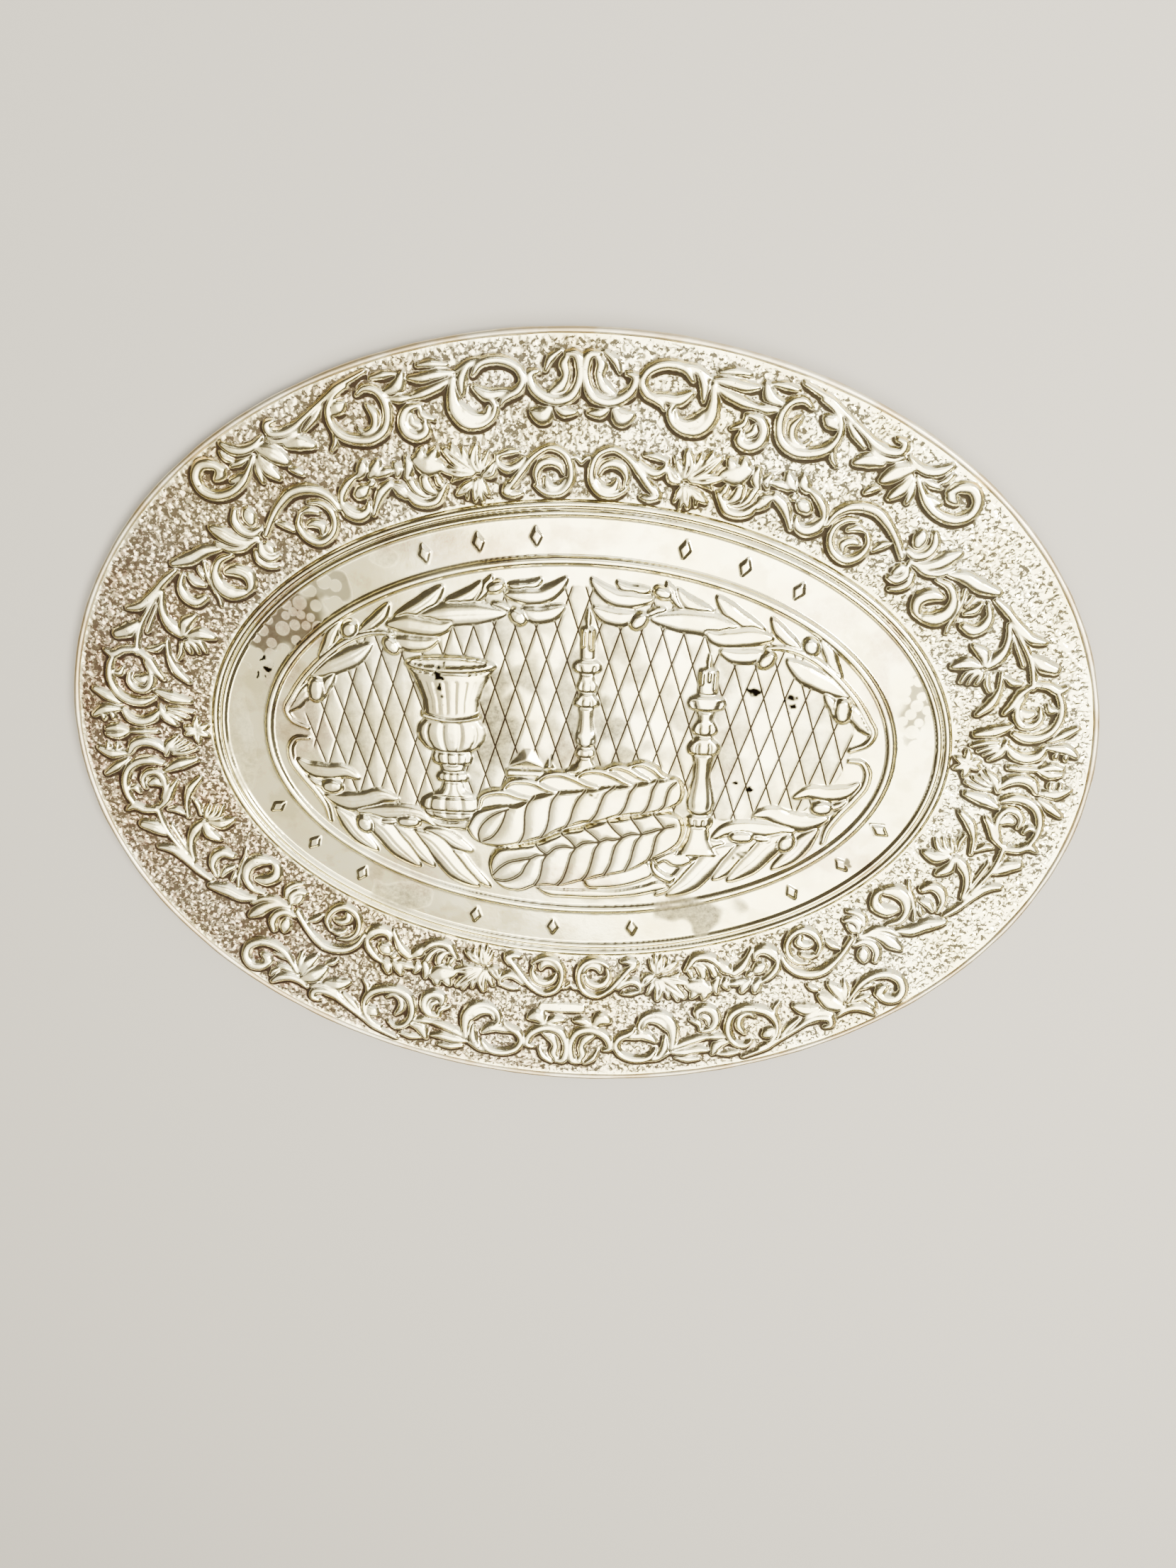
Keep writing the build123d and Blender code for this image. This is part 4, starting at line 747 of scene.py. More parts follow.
# %% Olive wreath
WREATH_LEAVES = [
    (1.4, [(-24, 56.4), (-19, 56), (-15, 57), (-12.6, 58.8)]),
    (2.1, [(-25, 53.2), (-18, 52.8), (-12, 53.4), (-8, 55.6), (-4, 59.4)]),
    (1.4, [(-38, 50.2), (-33.5, 53), (-30.6, 57), (-29.4, 59.2)]),
    (1.9, [(-48, 46.8), (-41, 50.4), (-36, 53.4), (-33, 57)]),
    (2.1, [(-46.4, 55), (-51, 50.4), (-56, 47), (-63, 44)]),
    (1.6, [(-65.2, 48.4), (-68, 44.4), (-71, 41.6), (-76, 38)]),
    (2.2, [(-20, 47.8), (-14, 46.6), (-9.5, 47.4), (-4.8, 49.8)]),
    (3.0, [(-55, 44), (-46, 45.4), (-38, 46.2), (-31, 46.6), (-24.6, 46.8)]),
    (2.5, [(-66, 41.4), (-59, 41.8), (-52, 41), (-47, 41), (-43.4, 42.8)]),
    (2.0, [(-64, 36), (-57, 34.8), (-53, 35), (-48.6, 36.6)]),
    (1.6, [(-82.2, 41.6), (-85.6, 37), (-87, 33.4), (-90.4, 28.6)]),
    (2.6, [(-71.6, 34.2), (-78, 29.8), (-85, 26.4), (-94, 22.2)]),
    (1.4, [(-85.6, 22.8), (-89, 18), (-91, 13.4)]),
    (2.1, [(-94, 18.6), (-98.6, 13.8), (-103, 9)]),
    (2.2, [(-101, -9.6), (-97, -12.8), (-90, -14), (-83.6, -13.6), (-78.4, -16)]),
    (2.6, [(-91.4, -23.4), (-84, -25.4), (-77, -24.6), (-70.6, -22.4), (-64.6, -23.6)]),
    (2.3, [(-80, -29), (-70, -29), (-62, -28.6), (-55, -30), (-50.2, -33.8)]),
    (2.3, [(-88, -28), (-84.4, -32.4), (-80.6, -38), (-73.2, -44.4)]),
    (1.9, [(-49, -41), (-43, -45), (-38, -51.4), (-31, -57.4)]),
    (2.2, [(-55, -35.4), (-48, -37), (-43.5, -40), (-37.4, -43)]),
    (3.0, [(-59.6, -36), (-53, -40), (-48, -46), (-43, -52), (-35.4, -57.2)]),
    (2.5, [(-69, -33.6), (-62, -38), (-58, -43.4), (-52, -49.8)]),
    (3.0, [(-79, -30.4), (-71.4, -35.4), (-66, -42), (-57.4, -50)]),
]
WREATH_STEMS = [
    [(-64, 38), (-69, 38.4), (-74, 37.6), (-79.6, 35.4), (-86, 31), (-92, 25.6), (-97, 20), (-101, 14),
     (-103.6, 9), (-102, 5.4), (-96.4, 2.6)],
    [(-96.4, -1.2), (-101, -1.8), (-103.2, -5), (-103, -10), (-99.4, -16), (-94.4, -22.6), (-91.4, -28),
     (-90.4, -33)],
    [(-29, 50), (-26.4, 49.6), (-23.4, 48)],
    [(-97, -16.4), (-94, -18.6), (-91, -19.4)],
    [(-71, -32.8), (-66, -32.4)],
]
# An olive is x, y, turn, half of its straight part and half width
OLIVES = [
    (-20.6, 45.8, -45, 1.3, 2.1), (-28.2, 55.6, 20, 1.4, 1.7), (-64.6, 34, -50, 1.3, 2.1),
    (-79.2, 39.2, 60, 0.8, 2.3), (-92.2, 17, 85, 2, 2.4), (-88.8, -19.6, 0, 1.4, 2.3),
    (-61, -32.2, 0, 2.3, 1.9), (-77.4, -34, -60, 0.9, 2.5),
]
wreath_rows = [(leaf, 1.15, (0.3, 1.5 * half, 1.4 * half, 0.2), points) for half, points in WREATH_LEAVES]
wreath_rows += [(plain, 1.1, (0.7, 1.2, 1.3, 1.3, 0.8), points) for points in WREATH_STEMS]
for x, y, turn, half, half_width in OLIVES:
    dx = half * math.cos(math.radians(turn))
    dy = half * math.sin(math.radians(turn))
    wreath_rows.append((plain, 1.8, (1.15 * half_width, 1.35 * half_width, 1.15 * half_width),
                        [(x - dx, y - dy), (x, y), (x + dx, y + dy)]))
SHOWS_THROUGH = 0.45     # share of a covered leaf that still shows
wreath = np.zeros_like(grid_x)
for row in wreath_rows:
    one = pressed([row])
    wreath = np.where(one > NO_FORM, np.maximum(one, SHOWS_THROUGH * wreath), wreath)
wreath = np.maximum(wreath, wreath[:, ::-1])
print("forms in half of the wreath:", len(wreath_rows))

# %% Lattice behind the figures
LATTICE_PITCH = 7.2
LATTICE_LEAN = 3.6 / 10.85     # sideways run of a line for each millimetre up the tray
LATTICE_CROSSING = (-3.6, 31)
LATTICE_LINE = 0.36      # half width of an engraved line
LATTICE_DEPTH = 0.2
QUILT_HEIGHT = 0.16      # swell of a cell
FLAT = 0.05              # relief under this counts as bare metal
lattice = np.zeros_like(grid_x)
quilt = np.ones_like(grid_x)
cell = np.zeros(grid_x.shape, int)
for lean in (LATTICE_LEAN, -LATTICE_LEAN):
    offset = (grid_x - LATTICE_CROSSING[0]) - lean * (grid_y - LATTICE_CROSSING[1])
    away = np.abs((offset / LATTICE_PITCH + 0.5) % 1 - 0.5) * LATTICE_PITCH / math.hypot(1, lean)
    cell = cell * 61 + np.floor(offset / LATTICE_PITCH).astype(int)
    lattice = np.maximum(lattice, np.exp(-((away / LATTICE_LINE) ** 2)))
    quilt = np.minimum(quilt, 1 - (1 - away / (LATTICE_PITCH / 2)) ** 2)
in_lattice = (oval(0, 6, 97, 51) < 1) * (grid_y > -26)
lattice *= in_lattice
cell_tone = np.sin(cell * 12.9898) * 0.5 + 0.5     # an uneven share between 0 and 1 for each cell
quilt *= in_lattice * (0.5 + cell_tone)
print("lattice lines lean", round(math.degrees(math.atan(LATTICE_LEAN)), 1), "degrees")

# %% The medallion as a whole
figures = wreath
for form in (salt, plate, goblet, rear_candle, front_candle, rear_loaf, front_loaf):
    figures = cover(figures, form)
in_medallion = from_ellipse(inset(MEDALLION, MEDALLION_BEAD[1]), grid_x, grid_y) < 0
bare_cells = in_lattice * in_medallion * (figures < FLAT)
behind = QUILT_HEIGHT * quilt - LATTICE_DEPTH * lattice
inner_map = np.where(in_medallion, cover(behind, figures), inner_map)
print("medallion relief", round(inner_map.max(), 2), "mm")

# %% [markdown]
# ## Ground, hollows and tarnish
# The ground between the scrolls was matted with small punches, which leaves a grain of shallow pits. The
# pits are seeded noise, cut off so that only its peaks go in. A second set of maps then says where dirt,
# tarnish and painted shade lie: in the hollows at the foot of each relief, with painted shadow on the
# lower left side of each form, and in films and spots that age has left on the open metal, where the grey
# of each lattice cell is painted shade.

# %% Matted ground of the border
rng = np.random.default_rng(12)


def grain(reach):
    # Seeded noise of even strength, smooth over the given reach in millimetres
    noise = soften(rng.standard_normal(grid_x.shape), reach)
    return noise / noise.std()


border_plain = soften(border_map, 0.26)
open_ground = 1 - fade(0.1, 0.5, border_plain)
open_ground *= fade(0.6, 2.6, -from_ellipse(RIM, grid_x, grid_y))
open_ground *= fade(0.2, 1.2, from_ellipse(WELL, grid_x, grid_y))
PUNCH_DEPTH = 0.2
punch_marks = fade(0.1, 0.9, grain(0.3)) * open_ground
border_height = border_plain - PUNCH_DEPTH * punch_marks + 0.06 * grain(0.45) * open_ground
inner_height = soften(inner_map, 0.2)
inner_height += 0.03 * grain(5.0)
print("share of the ground that is pitted:", round(float(punch_marks.sum() / open_ground.sum()), 2))


# %% Helpers for dirt and painted shade
def hollows(height, reach, depth):
    # 1 where the surface lies well under its surroundings, 0 on open metal
    return np.clip((soften(height, reach) - height) / depth, 0, 1)


def hollows_with_painted_shadow(height, reach, depth):
    # Dark in the hollows, as dirt and painted shade, and darker on the lower left side of each form, which
    # is painted shadow as from light at the upper right
    slope_y, slope_x = np.gradient(soften(height, 0.6), STEP)
    uphill = (0.6 * slope_x + 0.8 * slope_y) / (np.hypot(slope_x, slope_y) + 0.02)
    return hollows(height, reach, depth) * (0.12 + 0.88 * fade(-0.3, 0.5, uphill))


def blotch(places, rough):
    # Irregular patches; each place is x, y, half length, half width and strength
    field = np.zeros_like(grid_x)
    for x, y, half_x, half_y, strength in places:
        edge = oval(x, y, half_x, half_y) + rough
        field = np.maximum(field, strength * fade(1.15, 0.65, edge))
    return field


# %% Dirt and painted shade in the hollows, pits and films
coarse = grain(2.2)
cloud = grain(7.0)
# Dirt and painted shade: dark in the hollows and punch marks, with painted shadow on the lower left of each
# form
border_dirt_and_shade = np.clip(hollows_with_painted_shadow(border_plain, 0.6, 0.1) + 0.2 * punch_marks, 0, 1)
inner_dirt_and_shade = np.maximum(hollows_with_painted_shadow(inner_height, 0.45, 0.3) * (1 - bare_cells), 0.95 * crease_darkening)
PITS = [
    (-48, 21, 1.3, 3.2, 1), (6.5, -18.2, 1.2, 0.9, 1), (61, 23, 1.7, 1.0, 1), (75, 21.4, 1.6, 1.3, 1),
    (75, 17.6, 1.5, 1, 1), (57.6, -11.6, 1.2, 0.6, 1), (63.6, -13.6, 1.8, 0.9, 1),
    (61, -39, 1.6, 1.2, 0.9), (-110, 24, 1.8, 2.6, 1), (99.5, -41, 1.4, 1.6, 0.8),
    (-8.6, -6.6, 0.7, 1.6, 0.8),
]
pits = blotch(PITS, 0.75 * grain(0.6))
GREY_FILM = [
    (-65, -62.5, 9, 5, 0.75), (44, -64, 17, 6, 0.95), (-65, 64, 5, 3.4, 0.6), (-14, 6, 17, 13, 0.8),
    (-30, 4, 7, 14, 0.7), (-84, 2, 14, 14, 0.4), (66, 0, 18, 14, 0.45), (-38, -46, 4, 7, 0.7),
    (-120, -6, 5, 16, 0.5), (14, -58, 10, 4, 0.4), (-50, 40, 14, 8, 0.35),
]
BROWN_FILM = [
    (104, 32, 7, 22, 0.45), (-104, 42, 12, 22, 0.6), (-98, 4, 10, 12, 0.5), (-60, -52, 16, 7, 0.35),
    (0, -52, 14, 5, 0.4), (80, 50, 16, 5, 0.3), (-42, 68, 26, 6, 0.4), (0, 73, 26, 4, 0.3),
    (96, -40, 12, 14, 0.3),
]
FILM_EDGE = 0.28     # how ragged the edge of a film is
grey_film_and_cell_shade = blotch(GREY_FILM, FILM_EDGE * coarse) + 0.22 * fade(0.4, 2, cloud)
grey_film_and_cell_shade *= 1 - 0.75 * in_medallion * (figures > FLAT)
# Each bare cell of the lattice gets its own grey, a painted shade for the light falling differently on each
# swelling cell. Over it lies a ragged grey film, greyer towards the middle of the lattice
cell_shade_share = fade(0.25, 0.75, cell_tone)
middle_cells = fade(1.6, 0.5, oval(-8, 8, 45, 30))
lattice_film_and_cell_shade = 0.25 * cell_tone + (0.3 + 0.4 * middle_cells) * fade(-0.8, 1.2, coarse)
grey_film_and_cell_shade = np.clip(grey_film_and_cell_shade * (1 - bare_cells * (1 - cell_shade_share)) + bare_cells * lattice_film_and_cell_shade, 0, 1)
brown_film = np.clip(blotch(BROWN_FILM, FILM_EDGE * coarse) + 0.2 * fade(0.5, 2, grain(4.0)), 0, 1)
print("films:", len(GREY_FILM), "grey and", len(BROWN_FILM), "brown")

# %% [markdown]
# On the left of the band, and more weakly on the right, the tarnish has drawn back into pale round spots
# with a dark web between them. The spots are seeded, and each keeps its distance from the others.

# %% Spotted tarnish on the band
SPOT_FIELDS = [(-102, 40, 17, 26), (116, 18, 9, 18)]
spots = []
for turn in range(1800):
    middle_x, middle_y, half_x, half_y = SPOT_FIELDS[turn % 2]
    x = middle_x + half_x * rng.uniform(-1.2, 1.2)
    y = middle_y + half_y * rng.uniform(-1.2, 1.2)
    radius = rng.uniform(1.3, 2.5)
    if all(math.hypot(x - sx, y - sy) > 0.92 * (radius + sr) for sx, sy, sr in spots):
        spots.append((x, y, radius))
web = np.ones_like(grid_x)
for x, y, radius in spots:
    web = np.minimum(web, fade(0.85, 1.1, oval(x, y, radius, radius)))
on_band = from_ellipse(inset(WELL, TWIN_BEADS), grid_x, grid_y) < 0
on_band &= from_ellipse(MEDALLION, grid_x, grid_y) > 0
WEB_PLACES = [(-104, 40, 20, 20, 1), (-86, 54, 10, 6, 0.9), (118, 20, 8, 14, 0.8)]
web *= blotch(WEB_PLACES, 0.2 * coarse) * on_band
print("pale spots:", len(spots))

# %% [markdown]
# ## From map to metal
# A pressed sheet shows its relief on both sides. Each piece is a fine sheet of points that follows the map,
# a coarser back that follows the same relief one sheet thickness lower but stays clear of the floor, and
# a narrow wall round the edge that closes the solid. Values from the maps of dirt, painted shade and tarnish
# are stored on the points, where the materials can read them.

# %% Closed sheet over the map
BACK_STRIDE = 3       # front steps to one step of the back
BACK_SHARE = 0.85     # share of the relief that shows on the back
FLOOR_GAP = 0.02      # least height of the back above the floor


def back_of(field):
    # The relief as it shows from behind, softer and a little lower
    return soften(field, 0.7) * BACK_SHARE


def quads(index):
    corners = (index[:-1, :-1], index[:-1, 1:], index[1:, 1:], index[1:, :-1])
    return np.stack([c.ravel() for c in corners], -1)


def sheet_piece(name, x, y, base, height_map, back_map, stored):
    back = np.maximum(read_map(back_map, x, y), FLOOR_GAP)
    front = np.stack([x, y, base + read_map(height_map, x, y)], -1)
    rear = np.stack([x, y, base - SHEET + back], -1)[::BACK_STRIDE, ::BACK_STRIDE]
    first = x.size
    near = np.arange(first).reshape(x.shape)
    far = first + np.arange(rear[..., 0].size).reshape(rear.shape[:2])
    points = np.concatenate([front.reshape(-1, 3), rear.reshape(-1, 3)])
    faces = quads(near).tolist() + quads(far)[:, ::-1].tolist()
    sides = [(near[0], far[0]), (near[:, -1], far[:, -1]),
             (near[-1, ::-1], far[-1, ::-1]), (near[::-1, 0], far[::-1, 0])]
    for fine, wide in sides:
        for i in range(len(wide) - 1):
            fine_part = fine[BACK_STRIDE * i:BACK_STRIDE * (i + 1) + 1]
            faces.append([wide[i], wide[i + 1]] + list(fine_part[::-1]))
    mesh = bpy.data.meshes.new(name)
    mesh.from_pydata((points * MM).tolist(), [], faces)
    mesh.shade_smooth()
    edge_point = np.zeros(len(points), bool)
    for fine, wide in sides:
        edge_point[fine] = True
        edge_point[wide] = True
    ends = np.empty(len(mesh.edges) * 2, np.int32)
    mesh.edges.foreach_get("vertices", ends)
    sharp = edge_point[ends.reshape(-1, 2)].all(axis=1)
    mesh.attributes.new("sharp_edge", "BOOLEAN", "EDGE").data.foreach_set("value", sharp)
    for key, field in stored.items():
        values = read_map(field, x, y)
        both = np.concatenate([values.ravel(), values[::BACK_STRIDE, ::BACK_STRIDE].ravel()])
        mesh.attributes.new(key, "FLOAT", "POINT").data.foreach_set("value", both.astype(np.float32))
    piece = put(name, mesh)
    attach(piece, "root")
    print(name, "has", first, "points in front")
    return piece


# %% Border in four quarters
def ring(inner, outer, out, turn):
    # Points between two ellipses
    x = (inner[0] + out * (outer[0] - inner[0])) * np.cos(turn)
    y = (inner[1] + out * (outer[1] - inner[1])) * np.sin(turn)
    return x, y


BORDER_POINTS = (133, 652)
HALF_LENGTH = 180     # of the map; the ground is browner and more speckled towards the left end
border_back = back_of(border_map)
# Brown on the ground grows towards the lower left, and lies in a wide band round the foot of each form as
# dirt and painted shade
brown_gradient_and_hollow_shade = open_ground * (0.26 - 0.52 * (grid_x + 0.3 * grid_y) / HALF_LENGTH + 0.06 * cloud)
brown_gradient_and_hollow_shade += 0.2 * hollows(border_plain, 1.4, 0.5)
border_stored = {"dirt": border_dirt_and_shade, "grey": 0.4 * grey_film_and_cell_shade, "brown": np.clip(brown_gradient_and_hollow_shade, 0, 1), "pit": pits,
                 "ground": open_ground * (0.8 - 0.2 * grid_x / HALF_LENGTH)}
border_pieces = {}
for name, start in (("upper_right", 0), ("upper_left", 90), ("lower_left", 180), ("lower_right", 270)):
    out = np.linspace(0, 1, BORDER_POINTS[0])[:, None]
    turn = np.radians(np.linspace(start, start + 90, BORDER_POINTS[1]))[None, ::-1]
    x, y = ring(WELL, RIM, out, turn)
    border_pieces[name] = sheet_piece("border_" + name, x, y, SHEET + RISE * out + 0 * turn,
                                      border_height, border_back, border_stored)

# %% Beaded band in two halves, medallion in two halves
BAND_POINTS = (49, 802)
MEDALLION_POINTS = (325, 271)
WEB_STRENGTH = 0.57
inner_back = back_of(inner_map)
inner_stored = {"dirt": np.maximum(inner_dirt_and_shade, WEB_STRENGTH * web), "grey": grey_film_and_cell_shade, "brown": brown_film,
                "pit": pits, "lattice": soften(bare_cells, 0.2)}
band_pieces = []
for name, start in (("upper", 0), ("lower", 180)):
    out = np.linspace(0, 1, BAND_POINTS[0])[:, None]
    turn = np.radians(np.linspace(start + 180, start, BAND_POINTS[1]))[None, :]
    x, y = ring(MEDALLION, WELL, out, turn)
    band_pieces.append(sheet_piece("band_" + name, x, y, SHEET + 0 * x,
                                   inner_height, inner_back, inner_stored))
medallion_pieces = []
for name, start in (("left", -1), ("right", 0)):
    u = np.linspace(start, start + 1, MEDALLION_POINTS[1])[None, :]
    v = np.linspace(-1, 1, MEDALLION_POINTS[0])[:, None]
    x = MEDALLION[0] * u * np.sqrt(1 - v**2 / 2)
    y = MEDALLION[1] * v * np.sqrt(1 - u**2 / 2)
    medallion_pieces.append(sheet_piece("medallion_" + name, x, y, SHEET + 0 * x,
                                        inner_height, inner_back, inner_stored))

# %% [markdown]
# The edge is rolled over a wire, which leaves a plain round lip. It is a tube that follows the rim ellipse,
# with a slight hand-worked wobble.

# %% Wired edge
RIM_STEPS = 900
RIM_SIDES = 14
steps = np.radians(np.arange(RIM_STEPS) * 360 / RIM_STEPS)[:, None]
sides = np.radians(np.arange(RIM_SIDES) * 360 / RIM_SIDES)[None, :]
wobble = 0.05 * np.sin(23 * steps) + 0.04 * np.sin(41 * steps + 1) + 0.03 * np.sin(67 * steps + 2)
radius = RIM_WIRE / 2 * (1 + wobble)
normal_x = RIM[1] * np.cos(steps)
normal_y = RIM[0] * np.sin(steps)
normal_length = np.hypot(normal_x, normal_y)
wire = np.stack([RIM[0] * np.cos(steps) + radius * np.cos(sides) * normal_x / normal_length,
                 RIM[1] * np.sin(steps) + radius * np.cos(sides) * normal_y / normal_length,
                 RISE + SHEET / 2 + radius * np.sin(sides)], -1).reshape(-1, 3)
index = np.arange(len(wire)).reshape(RIM_STEPS, RIM_SIDES)
ahead = np.roll(index, -1, axis=0)
corners = (index, ahead, np.roll(ahead, -1, axis=1), np.roll(index, -1, axis=1))
wire_mesh = bpy.data.meshes.new("rim")
wire_mesh.from_pydata((wire * MM).tolist(), [], np.stack([c.ravel() for c in corners], -1).tolist())
wire_mesh.shade_smooth()
rim = put("rim", wire_mesh)
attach(rim, "root")
print("rim", len(wire), "points")

# %% [markdown]
# ## Which solids the meshes stand for
# The solids of the imported model stay in the frame, hidden, and the meshes are shown in their
# place. Each loop hides the solids that its meshes stand for; the finishes are given further on.

# %% Hide the solids that the meshes replace
for name, piece in border_pieces.items():
    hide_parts("tray_sheet", "outer_scrolls_" + name, "inner_scrolls_" + name)
    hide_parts("side_spray_left" if name.endswith("left") else "side_spray_right")
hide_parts("blank_tablet")
for piece in band_pieces:
    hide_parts("tray_sheet", "twin_bead_outer", "twin_bead_inner", "band_lozenges")
for piece in medallion_pieces:
    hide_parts("tray_sheet", "medallion_bead", "front_loaf", "rear_loaf", "olives")
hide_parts("goblet", "salt_cellar", "rear_candlestick", "olive_branch_upper_left",
            "olive_branch_lower_left")
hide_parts("rear_candlestick", "front_candlestick", "olive_branch_upper_right",
            "olive_branch_lower_right")
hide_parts("rim_wire")

# %% [markdown]
# ## Finishes
# Old silver plate is a mirror that has gone soft: warm white where hands and cloths have rubbed it, brown
# in the hollows where polish and dirt collect, grey and yellow where sulphur has dulled it. The hollows also
# carry painted shade, with painted shadow on the lower left side of each form, and the grey of each lattice
# cell is painted shade. The colour is built up from the bare metal through the films to the dirt and painted
# shade, and the maps on the points say where each lies.

# %% Helpers for materials
def linear(colour):
    # An sRGB hex colour as the linear values that the nodes expect
    shares = [int(colour[i:i + 2], 16) / 255 for i in (1, 3, 5)]
    return [s / 12.92 if s <= 0.04045 else ((s + 0.055) / 1.055) ** 2.4 for s in shares] + [1.0]


def add(tree, kind, inputs, **settings):
    # One node with its settings; an input is either a plain value or the output of another node
    node = tree.nodes.new("ShaderNode" + kind)
    for key, value in settings.items():
        setattr(node, key, value)
    for key, value in inputs.items():
        if isinstance(value, bpy.types.NodeSocket):
            tree.links.new(value, node.inputs[key])
        else:
            node.inputs[key].default_value = value
    return node.outputs


def new_material(name):
    material = bpy.data.materials.new(name)
    material.use_nodes = True
    return material, material.node_tree, material.node_tree.nodes["Principled BSDF"]


def per_metre(size_mm):
    # Texture scale that gives a pattern of this size
    return 1 / (size_mm * MM)


# %% Worn silver plate
SILVER = "#F7F1C8"
WARM_SILVER = "#EADFA9"
TONED_SILVER = "#C6BB8C"
SULPHUR_GREY_AND_CELL_SHADE = "#7C7660"
TARNISH_BROWN = "#8C6252"
# Near black brown for dirt in the hollows and for the painted shade and painted shadow laid there
DIRT_AND_SHADE = "#1A0F0A"
BARE_PIT = "#080503"
DIRT_AND_SHADE_SHARE = 0.97     # how much of the metal the thickest dirt hides
# Patterns on the metal: size in millimetres, detail and roughness
PATTERNS = {"cloudy": (28, 4.0, 0.5), "stains": (11, 6.0, 0.6), "specks": (1.6, 5.0, 0.65)}


def silver_plate(name, roughness, stippled=False, engraved=False):
    # Soft warm mirror on the open metal, dull brown in the hollows, where dirt and painted shade lie
    material, tree, shader = new_material(name)
    place = add(tree, "TexCoord", {})["Object"]
    stored = {}
    for key in ("dirt", "grey", "brown", "pit"):
        stored[key] = add(tree, "Attribute", {}, attribute_name=key)["Fac"]
    pattern = {}
    for key, (size_mm, detail, rough) in PATTERNS.items():
        pattern[key] = add(tree, "TexNoise", {"Vector": place, "Scale": per_metre(size_mm), "Detail": detail,
                                              "Roughness": rough})["Fac"]
    tone = add(tree, "MapRange", {"Value": pattern["cloudy"], 1: 0.35, 2: 0.7})[0]
    colour = add(tree, "Mix", {0: tone, 6: linear(SILVER), 7: linear(WARM_SILVER)}, data_type="RGBA")[2]
    toned = add(tree, "MapRange", {"Value": pattern["stains"], 1: 0.5, 2: 0.6, 3: 0.0, 4: 0.5})[0]
    colour = add(tree, "Mix", {0: toned, 6: colour, 7: linear(TONED_SILVER)}, data_type="RGBA")[2]
    broken = add(tree, "MapRange", {"Value": pattern["specks"], 1: 0.3, 2: 0.65, 3: 0.35, 4: 1.0})[0]
    # Grey film, which on the lattice also holds the painted shade of each cell, then brown film
    for key, film in (("grey", SULPHUR_GREY_AND_CELL_SHADE), ("brown", TARNISH_BROWN)):
        share = add(tree, "Math", {0: stored[key], 1: broken}, operation="MULTIPLY")[0]
        colour = add(tree, "Mix", {0: share, 6: colour, 7: linear(film)}, data_type="RGBA")[2]
    # Dirt and painted shade: dark in the hollows, with painted shadow on the lower left of each form
    dirt = add(tree, "MapRange", {"Value": stored["dirt"], 1: 0.2, 2: 0.6, 3: 0.0, 4: DIRT_AND_SHADE_SHARE})[0]
    if stippled:
        # Punch marks finer than the mesh, only on the open ground
        ground = add(tree, "Attribute", {}, attribute_name="ground")["Fac"]
        marks = add(tree, "TexNoise", {"Vector": place, "Scale": per_metre(1.5), "Detail": 3.0,
                                       "Roughness": 0.6})["Fac"]
        marks = add(tree, "Math", {0: ground, 1: 0.2, 2: marks}, operation="MULTIPLY_ADD")[0]
        marks = add(tree, "MapRange", {"Value": marks, 1: 0.665, 2: 0.71, 3: 0.0, 4: 0.9})[0]
        dirt = add(tree, "Math", {0: dirt, 1: marks}, operation="MAXIMUM")[0]
    if engraved:
        # Distance to the nearest line of each set, turned into a thin dark line
        lattice_here = add(tree, "Attribute", {}, attribute_name="lattice")["Fac"]
        for lean in (LATTICE_LEAN, -LATTICE_LEAN):
            run = add(tree, "VectorMath", {0: place, 1: (1, -lean, 0)}, operation="DOT_PRODUCT")["Value"]
            start = (LATTICE_CROSSING[0] - lean * LATTICE_CROSSING[1]) * MM
            run = add(tree, "Math", {0: run, 1: start}, operation="SUBTRACT")[0]
            away = add(tree, "Math", {0: run, 1: LATTICE_PITCH / 2 * MM}, operation="PINGPONG")[0]
            line = add(tree, "MapRange", {"Value": away, 1: 0.24 * MM, 2: 0.42 * MM,
                                          3: DIRT_AND_SHADE_SHARE, 4: 0.0})[0]
            line = add(tree, "Math", {0: line, 1: lattice_here}, operation="MULTIPLY")[0]
            dirt = add(tree, "Math", {0: dirt, 1: line}, operation="MAXIMUM")[0]
    colour = add(tree, "Mix", {0: dirt, 6: colour, 7: linear(DIRT_AND_SHADE)}, data_type="RGBA")[2]
    colour = add(tree, "Mix", {0: stored["pit"], 6: colour, 7: linear(BARE_PIT)}, data_type="RGBA")[2]
    tree.links.new(colour, shader.inputs["Base Color"])
    covered = add(tree, "Math", {0: dirt, 1: stored["pit"]}, operation="MAXIMUM")[0]
    metal = add(tree, "MapRange", {"Value": covered, 1: 0.0, 2: 1.0, 3: 1.0, 4: 0.0})[0]
    tree.links.new(metal, shader.inputs["Metallic"])
    shine = add(tree, "MapRange", {"Value": covered, 1: 0.0, 2: 0.8, 3: 0.5, 4: 0.0})[0]
    tree.links.new(shine, shader.inputs["Specular IOR Level"])
    dull = add(tree, "Math", {0: stored["grey"], 1: covered}, operation="MAXIMUM")[0]
    rough = add(tree, "MapRange", {"Value": dull, 1: 0.0, 2: 1.0, 3: roughness, 4: 0.7})[0]
    tree.links.new(rough, shader.inputs["Roughness"])
    rubbed = add(tree, "Bump", {"Height": pattern["specks"], "Strength": 0.5, "Distance": 0.05 * MM})[0]
    tree.links.new(rubbed, shader.inputs["Normal"])
    return material


FINISHES = {
    "border": silver_plate("matted silver plate", 0.22, stippled=True),
    "band": silver_plate("smooth silver plate", 0.17),
    "medallion": silver_plate("chased silver plate", 0.18, engraved=True),
}
for piece in list(border_pieces.values()) + band_pieces + medallion_pieces:
    piece.data.materials.append(FINISHES[piece.name.split("_")[0]])
print("finishes:", [m.name for m in FINISHES.values()])

# %% [markdown]
# Along the edge the plate has rubbed through to the brass underneath, in patches.

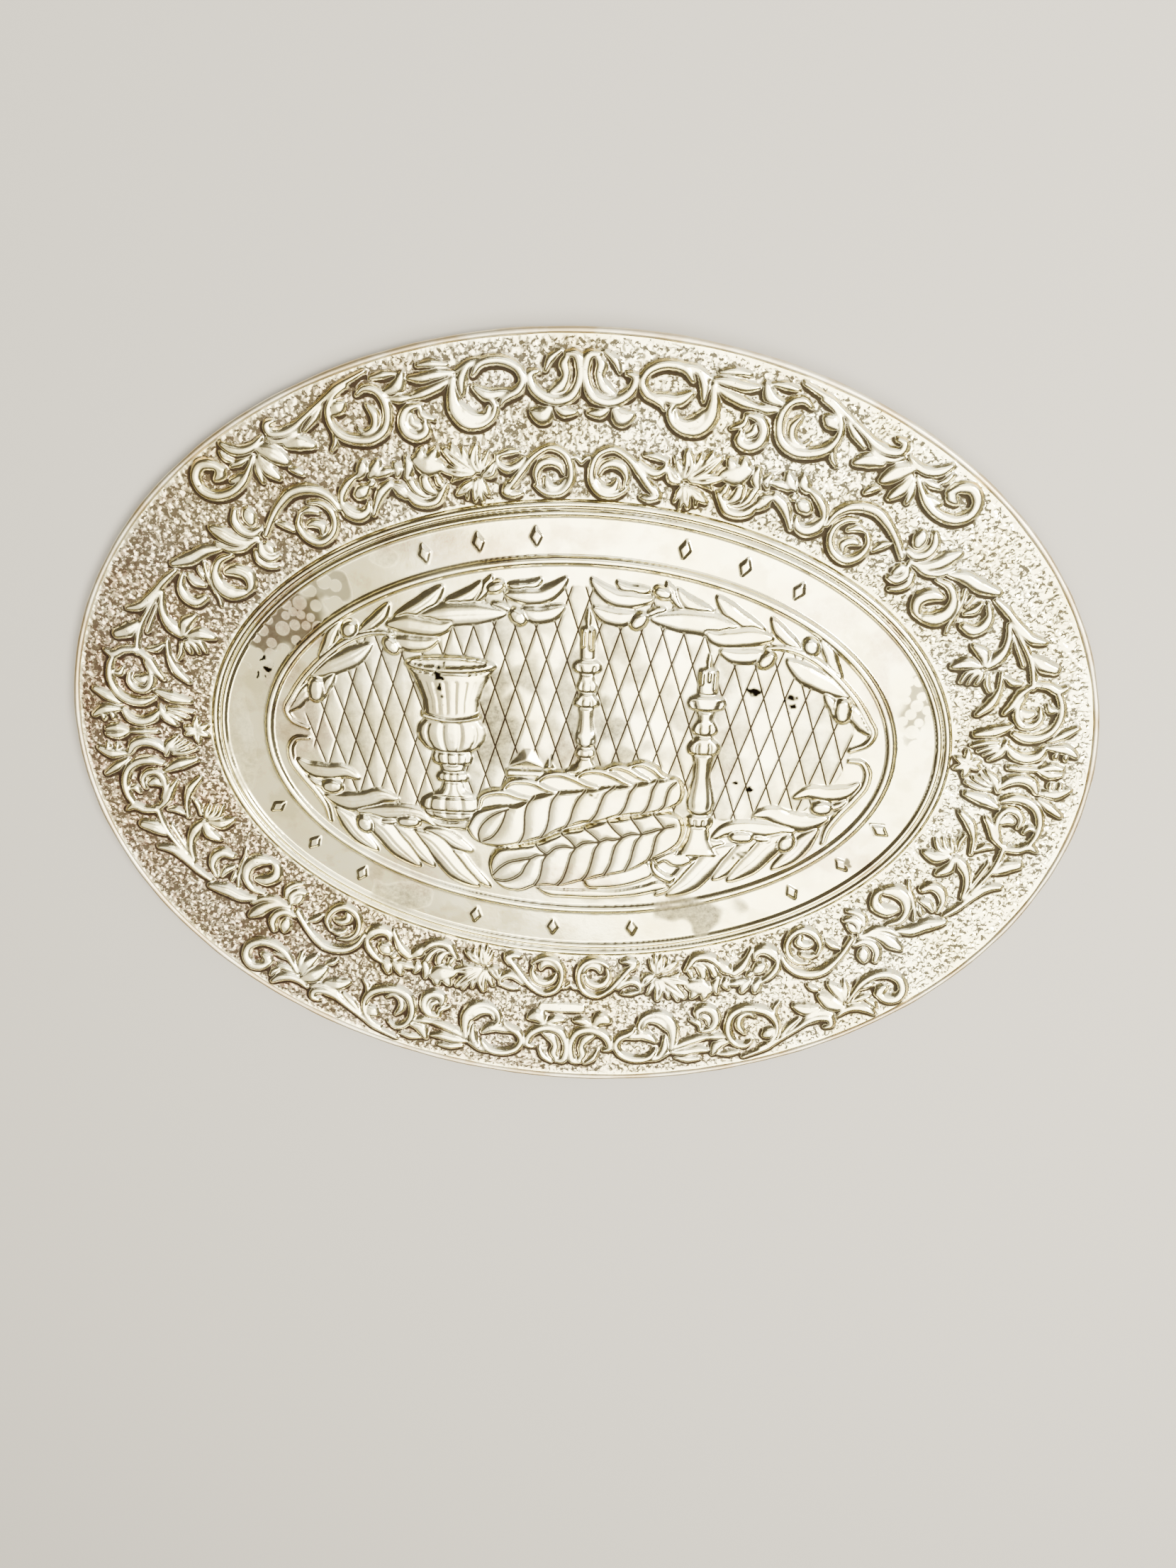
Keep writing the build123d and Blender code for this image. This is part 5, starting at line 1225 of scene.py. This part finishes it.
# %% Worn edge
# Handled metal: a soft sheen, pale where plate is left and tan where it is gone
RIM_SILVER = "#E8DFC2"
RIM_BRASS = "#CBB78E"
worn_brass, tree, shader = new_material("plated edge worn to brass")
place = add(tree, "TexCoord", {})["Object"]
patches = add(tree, "TexNoise", {"Vector": place, "Scale": per_metre(14), "Detail": 5.0})["Fac"]
worn = add(tree, "MapRange", {"Value": patches, 1: 0.42, 2: 0.58})[0]
edge_colour = add(tree, "Mix", {0: worn, 6: linear(RIM_SILVER), 7: linear(RIM_BRASS)}, data_type="RGBA")[2]
tree.links.new(edge_colour, shader.inputs["Base Color"])
shader.inputs["Metallic"].default_value = 1.0
shader.inputs["Roughness"].default_value = 0.42
rim.data.materials.append(worn_brass)
print("edge:", worn_brass.name)

# %% [markdown]
# ## Stage and light
# The tray lies on a plain pale floor. Two broad soft lights hang over it, and a smaller and stronger one
# stands to the right. Two more come from beyond the top edge, one high like a skylight and one low like
# a window, and a dim warm surround fills in. Silver shows what it reflects, so the lights are large.

# %% Floor
floor_mesh = bpy.data.meshes.new("floor")
FLOOR_HALF = 1.5     # metres
corners = [(x * FLOOR_HALF, y * FLOOR_HALF, 0) for x, y in ((-1, -1), (1, -1), (1, 1), (-1, 1))]
floor_mesh.from_pydata(corners, [], [(0, 1, 2, 3)])
floor = put("floor", floor_mesh)
floor_finish, tree, shader = new_material("pale matte floor")
shader.inputs["Base Color"].default_value = linear("#B0ACA4")
shader.inputs["Roughness"].default_value = 0.9
floor_mesh.materials.append(floor_finish)
print("floor:", floor_finish.name)


# %% Lights
def soft_light(name, place, size, power, colour):
    # Round lamp that faces the middle of the tray; place and size are in metres
    data = bpy.data.lights.new(name, "AREA")
    data.shape = "DISK"
    data.size = size
    data.energy = power
    data.color = linear(colour)[:3]
    light = put(name, data)
    light.location = place
    light.rotation_euler = (-light.location).to_track_quat("-Z", "Y").to_euler()
    return light


lights = [
    soft_light("ceiling", (0.2, -0.28, 1.2), 1.0, 27, "#FFFBEC"),
    soft_light("ceiling bounce", (-0.35, -0.5, 1.4), 1.6, 10, "#FFF8E6"),
    soft_light("key", (0.6, 0.15, 1.0), 0.35, 30, "#FFFAEE"),
    soft_light("skylight", (0.15, 0.75, 1.1), 0.8, 7, "#FFFDF6"),
    soft_light("window", (0.9, 1.2, 0.55), 1.6, 15, "#FFFFFF"),
]
world = bpy.data.worlds.new("pale surround")
bpy.context.scene.world = world
world.use_nodes = True
world.node_tree.nodes["Background"].inputs["Color"].default_value = linear("#F0DED0")
world.node_tree.nodes["Background"].inputs["Strength"].default_value = 0.12
print("lights:", len(lights))
